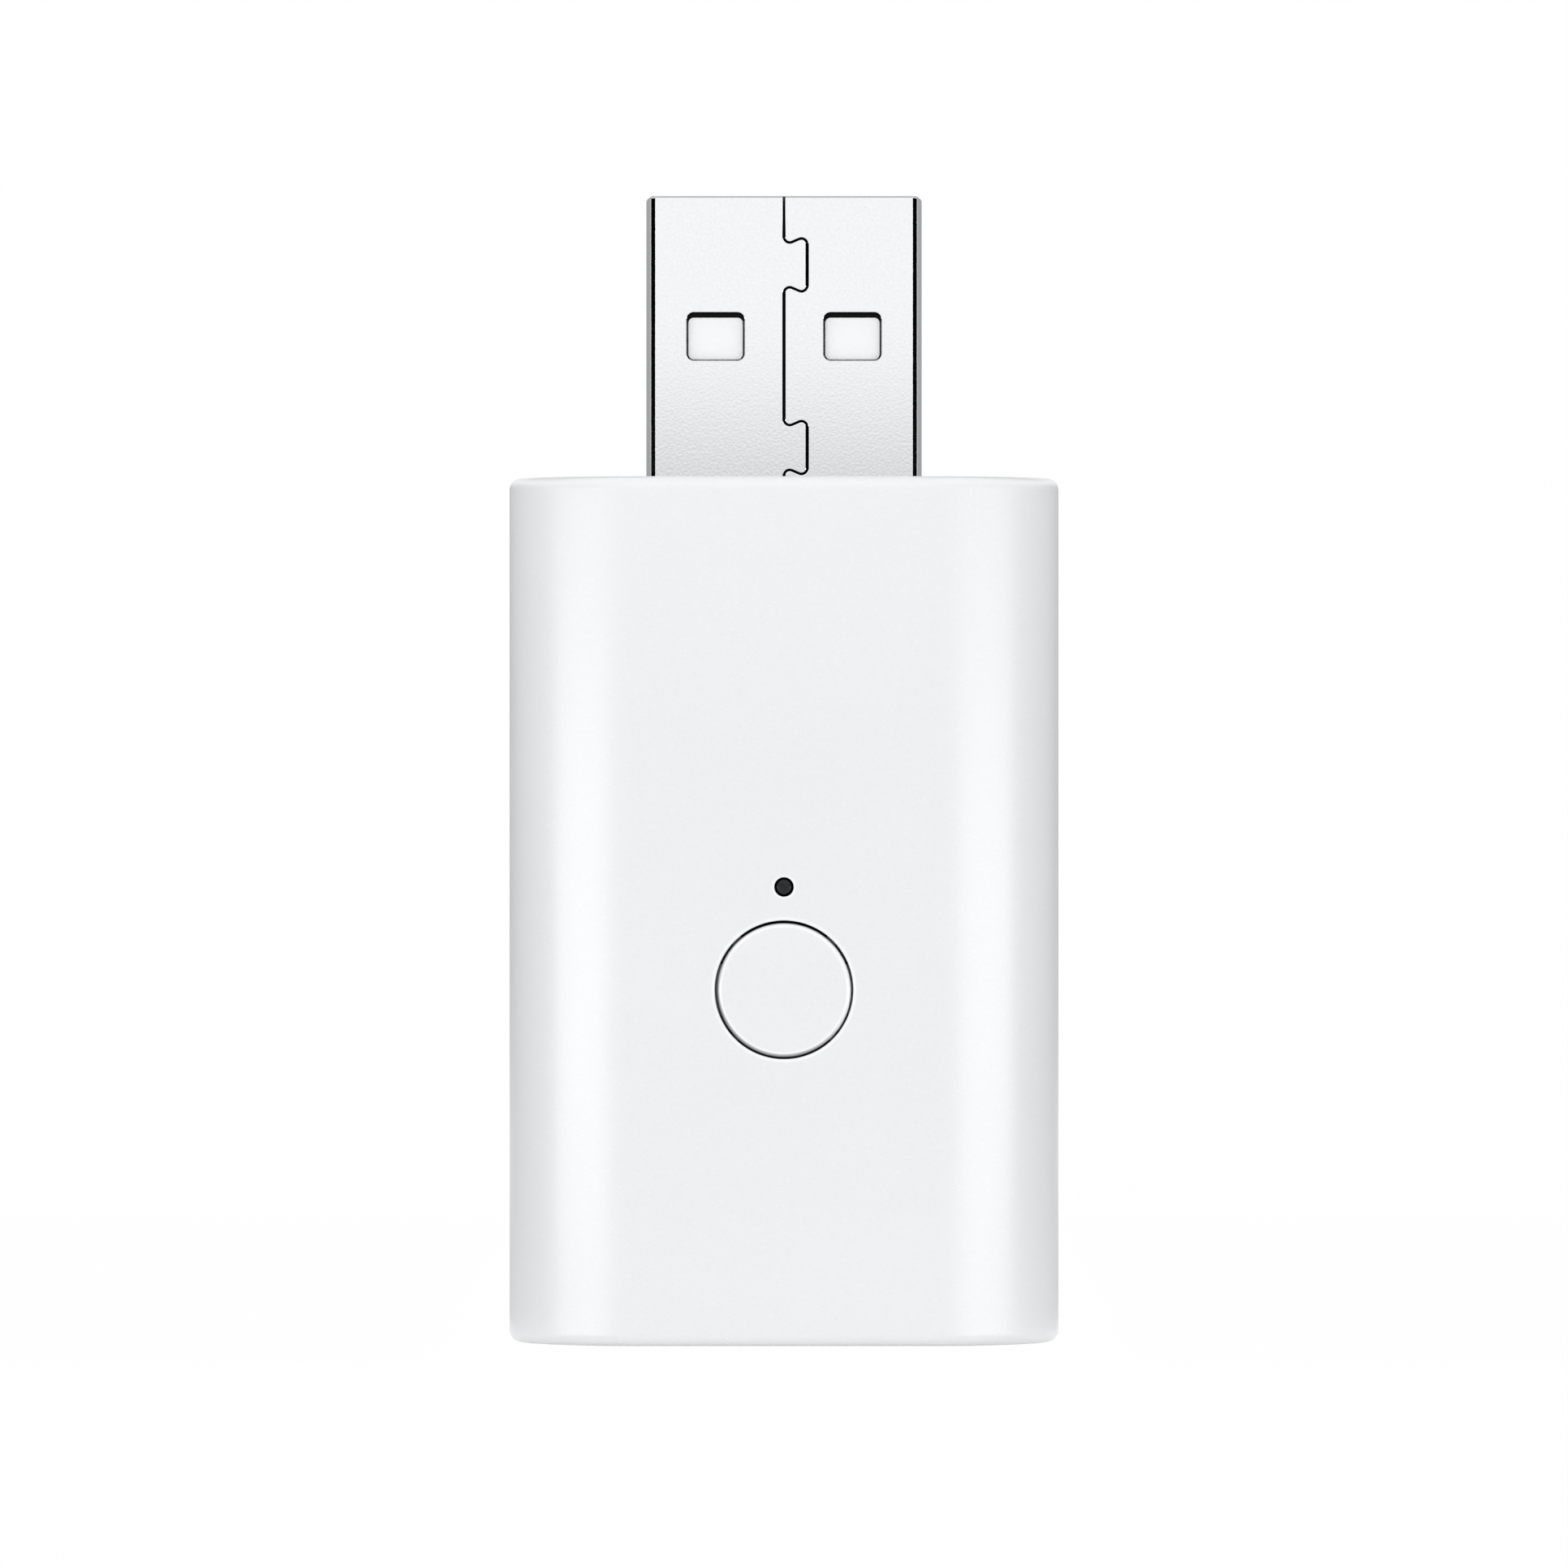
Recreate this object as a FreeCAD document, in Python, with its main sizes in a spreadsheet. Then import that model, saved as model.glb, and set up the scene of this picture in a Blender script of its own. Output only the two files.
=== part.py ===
import FreeCAD, Part
import math
import os
import re
import Sketcher

# USB plug-in signal repeater.
# Frame: +Z up with the plug at the top, -Y the front face with the button, +X to the right of
# somebody who looks at the front. Origin: middle of the bottom end face. All lengths in mm.

DOC = FreeCAD.newDocument("signal_repeater")

# Driving sizes

SIZES = {
    # Moulded housing, a flat oval tube closed at both ends
    "body_width": (24.0, "across the two rounded sides"),
    "body_depth": (10.0, "front face to back face"),
    "body_height": (37.7, "bottom face to the face that the plug leaves"),
    "side_reach": (5.6, "rounded side, beyond the flat faces"),
    "shoulder_turn": (46.4, "degrees that the larger arc turns, next to a flat face"),
    "end_round": (0.5, "rounding round both end faces"),
    "wall": (1.4, "housing wall"),
    "lip_wall": (0.65, "locating lip of the rear shell, thickness"),
    "lip_height": (0.8, "locating lip, how far it enters the front shell"),
    "fit_gap": (0.05, "clearance between pieces that locate each other"),
    "boss_root": (0.2, "how far posts and ribs run into the wall"),
    "snap_length": (5.0, "snap bead, along the side"),
    "snap_reach": (0.22, "snap bead, how far it stands out"),
    "snap_depth": (0.35, "snap bead, its own thickness"),
    "snap_tip": (0.1, "snap bead to the edge of the lip"),
    "snap_low": (7.0, "lower end of the first snap bead"),
    "snap_pitch": (18.5, "first snap bead to second"),
    # Folded plug shell
    "plug_width": (12.0, "outside width of the plug shell"),
    "plug_depth": (4.5, "outside thickness of the plug shell"),
    "plug_reach": (12.25, "length outside the housing"),
    "plug_seat": (6.4, "length inside the housing"),
    "sheet": (0.3, "steel sheet of the plug shell"),
    "plug_corner": (0.5, "outside bend radius of the shell"),
    "mouth_bevel": (0.1, "bevel of the mouth edge"),
    "window_width": (2.51, "latch window, across"),
    "window_height": (2.11, "latch window, along the plug"),
    "window_drop": (6.11, "mouth edge to window centre"),
    "window_spacing": (5.96, "between the window centres"),
    "window_corner": (0.3, "window corner radius"),
    "leg_width": (1.4, "solder leg, across"),
    "leg_length": (2.4, "solder leg, below the shell"),
    # Dovetail seam where the two ends of the folded sheet meet
    "seam_gap": (0.09, "open line between the two ends"),
    "tab_reach": (1.01, "dovetail tab, seam to tip"),
    "tab_drop": (2.99, "mouth edge to the middle of the first tab"),
    "tab_pitch": (7.95, "first tab to second"),
    "tab_tip": (2.30, "tab width at its tip"),
    "tab_neck": (1.95, "tab width at its neck"),
    "curl_radius": (0.25, "rounding of neck and tip, at the middle of the line"),
    # Plug insulator and contacts
    "tongue_inset": (0.5, "mouth edge down to the insulator"),
    "tongue_length": (16.9, "insulator, along the plug"),
    "tongue_bevel": (0.35, "lead-in at the tip of the insulator"),
    "contact_proud": (0.05, "contacts stand above the insulator"),
    "contact_sheet": (0.3, "contact strip thickness"),
    "contact_width": (1.0, "contact strip width"),
    "contact_tail": (2.4, "contact strip below the insulator"),
    "power_spacing": (7.0, "between power and ground contacts"),
    "data_spacing": (2.0, "between the two data contacts"),
    "power_inset": (1.1, "insulator tip to a power contact"),
    "data_inset": (2.1, "insulator tip to a data contact"),
    "latch_gap": (0.07, "latch bump to window at the sides and bottom"),
    "latch_top_gap": (0.23, "latch bump to window at the top"),
    "latch_proud": (0.12, "latch bump above the insulator"),
    # Main circuit board
    "board_front": (0.05, "Y of the board's front face"),
    "board_sheet": (1.0, "board thickness"),
    "board_gap": (0.6, "board to the inside of the housing at each side"),
    "board_rise": (0.5, "board above the inside of the bottom"),
    "shoulder_gap": (0.4, "board shoulder below the plug shell"),
    "neck_gap": (0.2, "neck of the board to the inside of the plug shell"),
    "neck_length": (3.4, "how far the neck stands above the shoulders"),
    "slot_gap": (0.15, "clearance round the solder legs"),
    "post_inset": (3.6, "side of the housing to the middle of a post"),
    "post_rise": (4.1, "lower edge of the board to the posts"),
    "post_diameter": (2.2, "posts of both shells"),
    "pin_diameter": (1.2, "pins of the rear posts"),
    "pin_gap": (0.12, "clearance round a pin, on the diameter"),
    "pin_entry": (0.85, "pin length in front of the board"),
    "cradle_width": (1.0, "ribs beside the plug shell"),
    "cradle_spacing": (7.0, "between the two cradle ribs"),
    "stop_width": (10.0, "rib below the plug shell"),
    "stop_margin": (0.4, "inside of the shell to the edge of that rib"),
    "stop_thickness": (1.1, "rib below the plug shell, along Z"),
    # Push button
    "button_height": (15.45, "button centre above the bottom face"),
    "button_hole": (6.0, "hole in the front face"),
    "button_gap": (0.09, "open ring round the button"),
    "button_round": (0.22, "softened edge round the button face"),
    "ear_reach": (0.75, "ears beyond the button's rim"),
    "ear_width": (2.2, "ears, along Z"),
    "ear_thickness": (0.6, "ears, along Y"),
    "ear_gap": (0.1, "clearance beside the ears"),
    "rib_width": (0.5, "guide ribs beside the ears"),
    "rib_margin": (0.15, "button hole to the guide ribs"),
    "rib_depth": (0.8, "guide ribs, along Y"),
    "pusher_diameter": (1.8, "pin behind the button"),
    "pusher_length": (0.55, "pin behind the button, along Y"),
    # Status light
    "light_rise": (1.45, "edge of the button hole to the light centre"),
    "light_hole": (0.84, "hole in the front face"),
    "light_gap": (0.02, "clearance round the light pipe"),
    "light_sink": (0.06, "light pipe below the front face"),
    "light_bevel": (0.1, "bevel round the end of the light pipe"),
    "light_boss": (2.4, "boss behind the light hole"),
    "light_boss_length": (1.1, "boss behind the light hole, along Y"),
    "light_collar": (1.5, "collar of the light pipe"),
    "light_collar_length": (0.6, "collar of the light pipe, along Y"),
    "light_rod": (1.1, "light pipe behind its collar"),
    "light_air": (0.1, "light pipe to light diode"),
    "diode_length": (2.0, "light diode, along X"),
    "diode_width": (1.25, "light diode, along Z"),
    "diode_height": (0.45, "ceramic base of the light diode"),
    "diode_lens": (0.35, "clear lens of the light diode, along Y"),
    "diode_lens_length": (1.2, "clear lens of the light diode, along X"),
    # Tactile switch
    "switch_side": (4.5, "square base of the switch"),
    "switch_base": (1.6, "moulded base, along Y"),
    "switch_lid": (0.2, "steel cover"),
    "stem_diameter": (2.0, "plunger"),
    "stem_gap": (0.2, "cover hole round the plunger, on the diameter"),
    "stem_foot": (2.9, "foot of the plunger"),
    "stem_foot_height": (0.4, "foot of the plunger, along Y"),
    "stem_play": (0.05, "foot to cover"),
    "stem_nose": (0.8, "nose that presses the dome"),
    "well_diameter": (3.4, "well in the base"),
    "well_depth": (1.1, "well in the base, along Y"),
    "dome_diameter": (3.0, "snap dome"),
    "dome_flat": (1.0, "flat top of the snap dome"),
    "dome_rise": (0.35, "snap dome"),
    "dome_sheet": (0.08, "snap dome"),
    "terminal_width": (0.7, "switch terminals"),
    "terminal_reach": (0.6, "switch terminals beyond the base"),
    "terminal_sheet": (0.2, "switch terminals"),
    "terminal_spacing": (3.0, "between terminals of one side"),
    # Radio module on the back of the board
    "module_gap": (0.8, "radio board to the posts"),
    "module_length": (18.0, "radio board, along Z"),
    "module_rise": (0.5, "lower edge of the board to the radio board"),
    "module_sheet": (0.8, "radio board thickness"),
    "edge_pad_diameter": (0.7, "half round solder edges"),
    "edge_pad_pitch": (2.8, "between solder edges"),
    "edge_pad_count": (4, "solder edges on each side"),
    "edge_pad_low": (7.0, "module edge to the first solder edge"),
    "can_inset": (1.2, "side of the radio board to the shield can"),
    "can_length": (11.8, "shield can, along Z"),
    "can_air": (0.2, "shield can to the rear shell"),
    "can_sheet": (0.2, "shield can"),
    "can_round": (0.4, "corners of the can"),
    "can_margin": (0.7, "can to the upper edge of the module"),
    "chip_side": (5.0, "radio chip"),
    "chip_height": (0.65, "radio chip, along Y"),
    "chip_margin": (1.2, "radio chip to the inside of the can"),
    "crystal_length": (3.2, "crystal"),
    "crystal_width": (2.5, "crystal"),
    "crystal_height": (0.6, "crystal, along Y"),
    "crystal_margin": (0.9, "crystal to the inside of the can"),
    "antenna_length": (9.0, "ceramic antenna"),
    "antenna_width": (2.0, "ceramic antenna"),
    "antenna_height": (0.9, "ceramic antenna"),
    "antenna_margin": (0.8, "antenna to the lower edge of the module"),
    # Power and protection parts on the front of the board
    "package_width": (2.9, "regulator and surge diode, along X"),
    "package_length": (1.6, "regulator and surge diode, along Z"),
    "package_height": (1.1, "regulator and surge diode, along Y"),
    "lead_width": (0.4, "leads of both"),
    "lead_reach": (0.6, "leads beyond the package"),
    "lead_sheet": (0.2, "leads of both"),
    "lead_pitch": (0.95, "between leads"),
    "part_gap": (0.3, "solder legs and contact tails to the parts below them"),
    "regulator_inset": (5.8, "left edge of the board to the middle of the regulator"),
    "fuse_length": (3.2, "resettable fuse, along X"),
    "fuse_width": (1.6, "resettable fuse, along Z"),
    "fuse_height": (0.8, "resettable fuse, along Y"),
    "fuse_inset": (5.8, "right edge of the board to the middle of the fuse"),
    "capacitor_length": (2.0, "chip capacitor"),
    "capacitor_width": (1.25, "chip capacitor"),
    "capacitor_inset": (2.8, "right edge of the board to the last capacitor"),
    "capacitor_pitch": (1.9, "between capacitors"),
    "resistor_length": (1.6, "chip resistor"),
    "resistor_width": (0.8, "chip resistor"),
    "resistor_height": (0.45, "chip resistor, along Y"),
    "resistor_inset": (3.2, "left edge of the board to the first resistor"),
    "resistor_pitch": (1.4, "between resistors"),
}

SHEET = DOC.addObject("Spreadsheet::Sheet", "sizes")
for row, (alias, (number, note)) in enumerate(SIZES.items(), start=1):
    SHEET.set(f"A{row}", alias)
    SHEET.set(f"B{row}", str(number))
    SHEET.set(f"C{row}", note)
    SHEET.setAlias(f"B{row}", alias)
DOC.recompute()

# Places that several pieces share, written once as expressions on the sheet

MOUTH = "(body_height + plug_reach)"
PLUG_LOW = "(body_height - plug_seat)"
INNER_FACE = "(body_depth / 2 - wall)"
BOARD_BACK = "(board_front + board_sheet)"
BOARD_SHOULDER = f"({PLUG_LOW} - shoulder_gap)"
BOARD_LOW = "(wall + board_rise)"
BOARD_SIDE = "(body_width / 2 - wall - board_gap)"
SLOT_LOW = f"({PLUG_LOW} - leg_length - slot_gap)"
POST_SIDE = "(body_width / 2 - post_inset)"
POST_HEIGHT = f"({BOARD_LOW} + post_rise)"
TONGUE_HIGH = f"({MOUTH} - tongue_inset)"
TONGUE_LOW = f"({TONGUE_HIGH} - tongue_length)"
TONGUE_FRONT = "(sheet + fit_gap - plug_depth / 2)"
TONGUE_BACK = "(board_front - contact_proud)"
CONTACT_FRONT = "(board_front - contact_sheet)"
SWITCH_FACE = "(board_front - switch_base)"
LID_FACE = f"({SWITCH_FACE} - switch_lid)"
WELL_FLOOR = f"({SWITCH_FACE} + well_depth)"
DOME_TOP = f"({WELL_FLOOR} - dome_rise)"
FOOT_FACE = f"({SWITCH_FACE} + stem_play)"
BUTTON_RADIUS = "(button_hole / 2 - button_gap)"
EAR_FACE = "(wall + fit_gap - body_depth / 2)"
STEM_TOP = f"({EAR_FACE} + ear_thickness + pusher_length)"
LIGHT_HEIGHT = "(button_height + button_hole / 2 + light_rise)"
LEAD_SPAN = "(package_length / 2 + lead_reach)"
MODULE_LOW = f"({BOARD_LOW} + module_rise)"
MODULE_SIDE = f"({POST_SIDE} - post_diameter / 2 - module_gap)"
MODULE_BACK = f"({BOARD_BACK} + module_sheet)"
MODULE_HIGH = f"({MODULE_LOW} + module_length)"
CAN_HIGH = f"({MODULE_HIGH} - can_margin)"
CAN_LOW = f"({CAN_HIGH} - can_length)"
CAN_SIDE = f"({MODULE_SIDE} - can_inset)"
CAN_BACK = f"({INNER_FACE} - can_air)"


# Expressions and sketches

def link(text):
    """Puts the sheet's name before each size that an expression uses."""
    def with_sheet(word):
        return "sizes." + word.group() if word.group() in SIZES else word.group()

    return re.sub(r"[a-z_]+", with_sheet, text)


def value(text):
    """The number that an expression has now."""
    return float(SHEET.evalExpression(link(text)))


def bind(thing, expressions):
    """Ties properties of a document object to the sheet."""
    for name, text in expressions.items():
        thing.setExpression(name, link(text))


def start_body(label):
    body = DOC.addObject("PartDesign::Body", label)
    body.Label = label
    return body


def sketch_on(body, name, role, offset="0"):
    """A sketch on one of the body's own planes, moved along the plane's normal.
    On XZ_Plane the sketch's x is X, its y is Z, and its normal points to -Y."""
    sketch = body.newObject("Sketcher::SketchObject", name)
    plane = next(feature for feature in body.Origin.OriginFeatures if feature.Role == role)
    sketch.AttachmentSupport = [(plane, "")]
    sketch.MapMode = "FlatFace"
    bind(sketch, {"AttachmentOffset.Base.z": offset})
    return sketch


def polygon(sketch, corners):
    """A closed outline whose corners are pairs of expressions."""
    points = [FreeCAD.Vector(value(x), value(y), 0) for x, y in corners]
    first = sketch.GeometryCount
    count = len(points)
    for i in range(count):
        sketch.addGeometry(Part.LineSegment(points[i], points[(i + 1) % count]))
    for i in range(count):
        sketch.addConstraint(Sketcher.Constraint("Coincident", first + i, 2, first + (i + 1) % count, 1))
    for i, corner in enumerate(corners):
        for kind, text, number in zip(("DistanceX", "DistanceY"), corner, (points[i].x, points[i].y)):
            index = sketch.addConstraint(Sketcher.Constraint(kind, -1, 1, first + i, 1, number))
            bind(sketch, {f"Constraints[{index}]": text})


def rectangle(sketch, left, low, right, high):
    polygon(sketch, [(left, low), (right, low), (right, high), (left, high)])


def circle(sketch, across, up, diameter):
    centre = FreeCAD.Vector(value(across), value(up), 0)
    radius = value(f"({diameter}) / 2")
    round_line = sketch.addGeometry(Part.Circle(centre, FreeCAD.Vector(0, 0, 1), radius))
    for kind, text, number in (("DistanceX", across, centre.x), ("DistanceY", up, centre.y)):
        index = sketch.addConstraint(Sketcher.Constraint(kind, -1, 1, round_line, 3, number))
        bind(sketch, {f"Constraints[{index}]": text})
    index = sketch.addConstraint(Sketcher.Constraint("Diameter", round_line, 2 * radius))
    bind(sketch, {f"Constraints[{index}]": diameter})


# Features

def settle(body, made):
    """Recomputes and stops if the new feature has no valid solid."""
    DOC.recompute()
    shape = made.Shape
    if "Invalid" in made.State or shape.isNull() or not shape.isValid():
        raise RuntimeError(f"{body.Label}: {made.Name} has failed")
    return made


def feature(body, kind, sketch, length, grows, flip):
    """Adds a pad or pocket and makes sure that it changes the solid the right way."""
    before = body.Shape.Volume if body.Tip else 0.0
    made = body.newObject(kind, sketch.Name + "_feature")
    made.Profile = sketch
    made.Reversed = flip
    if length is None:
        made.Type = "ThroughAll"
        made.SideType = "Symmetric"
    else:
        bind(made, {"Length": length})
    sketch.Visibility = False
    settle(body, made)
    change = body.Shape.Volume - before
    if (change > 0) != grows or abs(change) < 1e-6:
        raise RuntimeError(f"{body.Label}: {sketch.Name} changed the volume by {change}")
    return made


def pad(body, sketch, length, flip=False):
    return feature(body, "PartDesign::Pad", sketch, length, True, flip)


def pocket(body, sketch, length=None, flip=False):
    return feature(body, "PartDesign::Pocket", sketch, length, False, flip)


def revolve(body, sketch):
    """Turns a profile through a full circle about the sketch's own vertical axis."""
    made = body.newObject("PartDesign::Revolution", sketch.Name + "_feature")
    made.Profile = sketch
    made.ReferenceAxis = (sketch, ["V_Axis"])
    made.Angle = 360
    sketch.Visibility = False
    return settle(body, made)


def soften(body, kind, size_name, size, chosen):
    """Fillets or chamfers the edges of the last feature that a test chooses."""
    base = body.Tip
    names = [f"Edge{i}" for i, edge in enumerate(base.Shape.Edges, start=1) if chosen(edge)]
    if not names:
        raise RuntimeError(f"{body.Label}: no edge to soften")
    made = body.newObject(kind, f"{body.Label}_{size_name}")
    made.Base = (base, names)
    bind(made, {size_name: size})
    return settle(body, made)


def fillet(body, radius, chosen):
    return soften(body, "PartDesign::Fillet", "Radius", radius, chosen)


def chamfer(body, size, chosen):
    return soften(body, "PartDesign::Chamfer", "Size", size, chosen)


def repeat(body, made, role, length, count):
    """Repeats a feature in a row along one of the body's axes."""
    row = body.newObject("PartDesign::LinearPattern", made.Name + "_row")
    axis = next(item for item in body.Origin.OriginFeatures if item.Role == role)
    row.Originals = [made]
    row.Direction = (axis, [""])
    bind(row, {"Length": length})
    row.Occurrences = count
    body.Tip = row
    return settle(body, row)


def runs_along(edge, axis):
    """True for a straight edge parallel to an axis, given as x, y or z."""
    if not isinstance(edge.Curve, Part.Line):
        return False
    return abs(abs(getattr(edge.Curve.Direction, axis)) - 1) < 1e-6


def at_height(edge, level, axis="z"):
    """True for an edge that lies in the plane where axis equals level."""
    return all(abs(getattr(point, axis) - level) < 1e-6 for point in edge.discretize(5))


# Primitives

def box(name, low, size):
    """A block with its lowest corner at low; all six are expressions."""
    made = DOC.addObject("Part::Box", name)
    bind(made, dict(zip(("Placement.Base.x", "Placement.Base.y", "Placement.Base.z"), low)))
    bind(made, dict(zip(("Length", "Width", "Height"), size)))
    return made


def group(kind, label, members):
    """Fuses or collects primitives under the name of one piece."""
    made = DOC.addObject(kind, label)
    made.Label = label
    if kind == "Part::Compound":
        made.Links = members
    else:
        made.Shapes = members
    return made


# Housing: two shells of one flat oval outline

def oval(sketch, inset):
    """Flat oval outline of the housing, moved inwards by a size.
    Each side is three tangent arcs: shoulder, side, shoulder. Both radii follow from the reach
    of the side, half the depth and the angle that a shoulder turns."""
    inward = value(inset)
    reach = value("side_reach")
    half_flat = value("body_width / 2") - reach
    half_depth = value("body_depth / 2")
    turn = math.radians(value("shoulder_turn"))
    sine = math.sin(turn)
    cosine = math.cos(turn)
    shared = 1 - sine - cosine
    shoulder = ((1 - sine) * half_depth - cosine * reach) / shared
    side = ((1 - cosine) * reach - sine * half_depth) / shared
    up = FreeCAD.Vector(0, 0, 1)
    for right in (1, -1):
        for back in (1, -1):
            centre = FreeCAD.Vector(right * half_flat, back * (half_depth - shoulder), 0)
            ends = sorted((back * math.pi / 2, back * (math.pi / 2 - turn)))
            if right < 0:
                ends = sorted(math.pi - end for end in ends)
            sketch.addGeometry(Part.ArcOfCircle(Part.Circle(centre, up, shoulder - inward), *ends))
        middle = 0.0 if right > 0 else math.pi
        half_turn = math.pi / 2 - turn
        centre = FreeCAD.Vector(right * (half_flat + reach - side), 0, 0)
        round_side = Part.Circle(centre, up, side - inward)
        sketch.addGeometry(Part.ArcOfCircle(round_side, middle - half_turn, middle + half_turn))
    for back in (1, -1):
        level = back * (half_depth - inward)
        left_end = FreeCAD.Vector(-half_flat, level, 0)
        sketch.addGeometry(Part.LineSegment(left_end, FreeCAD.Vector(half_flat, level, 0)))


def start_shell(label, keeps_front):
    """Outer form, hollow, parting face and plug opening, alike in both shells."""
    body = start_body(label)
    outline = sketch_on(body, label + "_outline", "XY_Plane")
    oval(outline, "0")
    pad(body, outline, "body_height")
    ends = (0.0, value("body_height"))
    fillet(body, "end_round", lambda edge: any(at_height(edge, end) for end in ends))
    hollow = sketch_on(body, label + "_hollow", "XY_Plane", "wall")
    oval(hollow, "wall")
    pocket(body, hollow, "body_height - 2 * wall", flip=True)
    other_half = sketch_on(body, label + "_parting", "XY_Plane")
    removed = "body_depth" if keeps_front else "-body_depth"
    rectangle(other_half, "-body_width", "0", "body_width", removed)
    pocket(body, other_half)
    opening = sketch_on(body, label + "_plug_opening", "XY_Plane", "body_height")
    reach_across = "plug_width / 2 + fit_gap"
    reach_deep = "plug_depth / 2 + fit_gap"
    rectangle(opening, f"-({reach_across})", f"-({reach_deep})", reach_across, reach_deep)
    pocket(body, opening, "2 * wall")
    corner = value(reach_across)
    fillet(body, "plug_corner + fit_gap", lambda edge: runs_along(edge, "z")
           and abs(abs(edge.Vertexes[0].X) - corner) < 1e-6
           and abs(abs(edge.Vertexes[0].Y) - value(reach_deep)) < 1e-6)
    return body


def post_places():
    """Centres of the two posts, as pairs of expressions."""
    return [(f"{side} * {POST_SIDE}", POST_HEIGHT) for side in (-1, 1)]


def cradle(body, label, front):
    """Ribs that hold the plug shell between the two housings, and the stop under it."""
    outward = f"{INNER_FACE} + boss_root"
    inward = "plug_depth / 2 + fit_gap"
    sign = -1 if front else 1
    ribs = sketch_on(body, label + "_cradle", "XY_Plane", PLUG_LOW)
    for side in (-1, 1):
        middle = f"{side} * cradle_spacing / 2"
        rectangle(ribs, f"{middle} - cradle_width / 2", f"{sign} * ({inward})",
                  f"{middle} + cradle_width / 2", f"{sign} * ({outward})")
    pad(body, ribs, "plug_seat - wall + boss_root")
    stop = sketch_on(body, label + "_stop", "XY_Plane", f"{PLUG_LOW} - fit_gap")
    clear = "plug_depth / 2 - sheet - stop_margin"
    rectangle(stop, "-stop_width / 2", f"{sign} * ({clear})", "stop_width / 2", f"{sign} * ({outward})")
    pad(body, stop, "stop_thickness", flip=True)


def front_shell():
    """White moulded shell with the button and light holes, posts and guide ribs."""
    body = start_shell("front_shell", keeps_front=True)
    groove = sketch_on(body, "front_lip_groove", "XZ_Plane")
    step = "wall - lip_wall - fit_gap"
    rectangle(groove, f"{step} - body_width / 2", step,
              f"body_width / 2 - ({step})", f"body_height - ({step})")
    pocket(body, groove, "lip_height + fit_gap", flip=True)
    recess = sketch_on(body, "front_snap_recess", "XY_Plane", "snap_low - fit_gap")
    for side in (-1, 1):
        inner = f"{side} * (body_width / 2 - wall + lip_wall)"
        outer = f"{side} * (body_width / 2 - wall + lip_wall + snap_reach + fit_gap)"
        rectangle(recess, inner, "snap_tip - lip_height - fit_gap", outer,
                  "snap_tip + snap_depth - lip_height + fit_gap")
    cut = pocket(body, recess, "snap_length + 2 * fit_gap", flip=True)
    repeat(body, cut, "Z_Axis", "snap_pitch", 2)
    holes = sketch_on(body, "front_button_hole", "XZ_Plane")
    circle(holes, "0", "button_height", "button_hole")
    pocket(body, holes, "body_depth", flip=True)
    boss = sketch_on(body, "front_light_boss", "XZ_Plane", f"{INNER_FACE} - light_boss_length")
    circle(boss, "0", LIGHT_HEIGHT, "light_boss")
    pad(body, boss, "light_boss_length + boss_root")
    bore = sketch_on(body, "front_light_bore", "XZ_Plane")
    circle(bore, "0", LIGHT_HEIGHT, "light_collar + 2 * light_gap")
    pocket(body, bore, INNER_FACE, flip=True)
    eye = sketch_on(body, "front_light_hole", "XZ_Plane")
    circle(eye, "0", LIGHT_HEIGHT, "light_hole")
    pocket(body, eye, "body_depth", flip=True)
    guides = sketch_on(body, "front_guide_ribs", "XZ_Plane", f"{INNER_FACE} - rib_depth")
    for side in (-1, 1):
        near = f"{side} * (button_hole / 2 + rib_margin)"
        far = f"{side} * (button_hole / 2 + ear_reach + 2 * rib_margin)"
        for above in (-1, 1):
            inner = f"button_height + {above} * (ear_width / 2 + ear_gap)"
            outer = f"button_height + {above} * (ear_width / 2 + ear_gap + rib_width)"
            rectangle(guides, near, inner, far, outer)
    pad(body, guides, "rib_depth + boss_root")
    posts = sketch_on(body, "front_posts", "XZ_Plane", "fit_gap - board_front")
    for across, up in post_places():
        circle(posts, across, up, "post_diameter")
        circle(posts, across, up, "pin_diameter + pin_gap")
    pad(body, posts, f"{INNER_FACE} + boss_root + board_front - fit_gap")
    cradle(body, "front", front=True)
    return body


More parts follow.
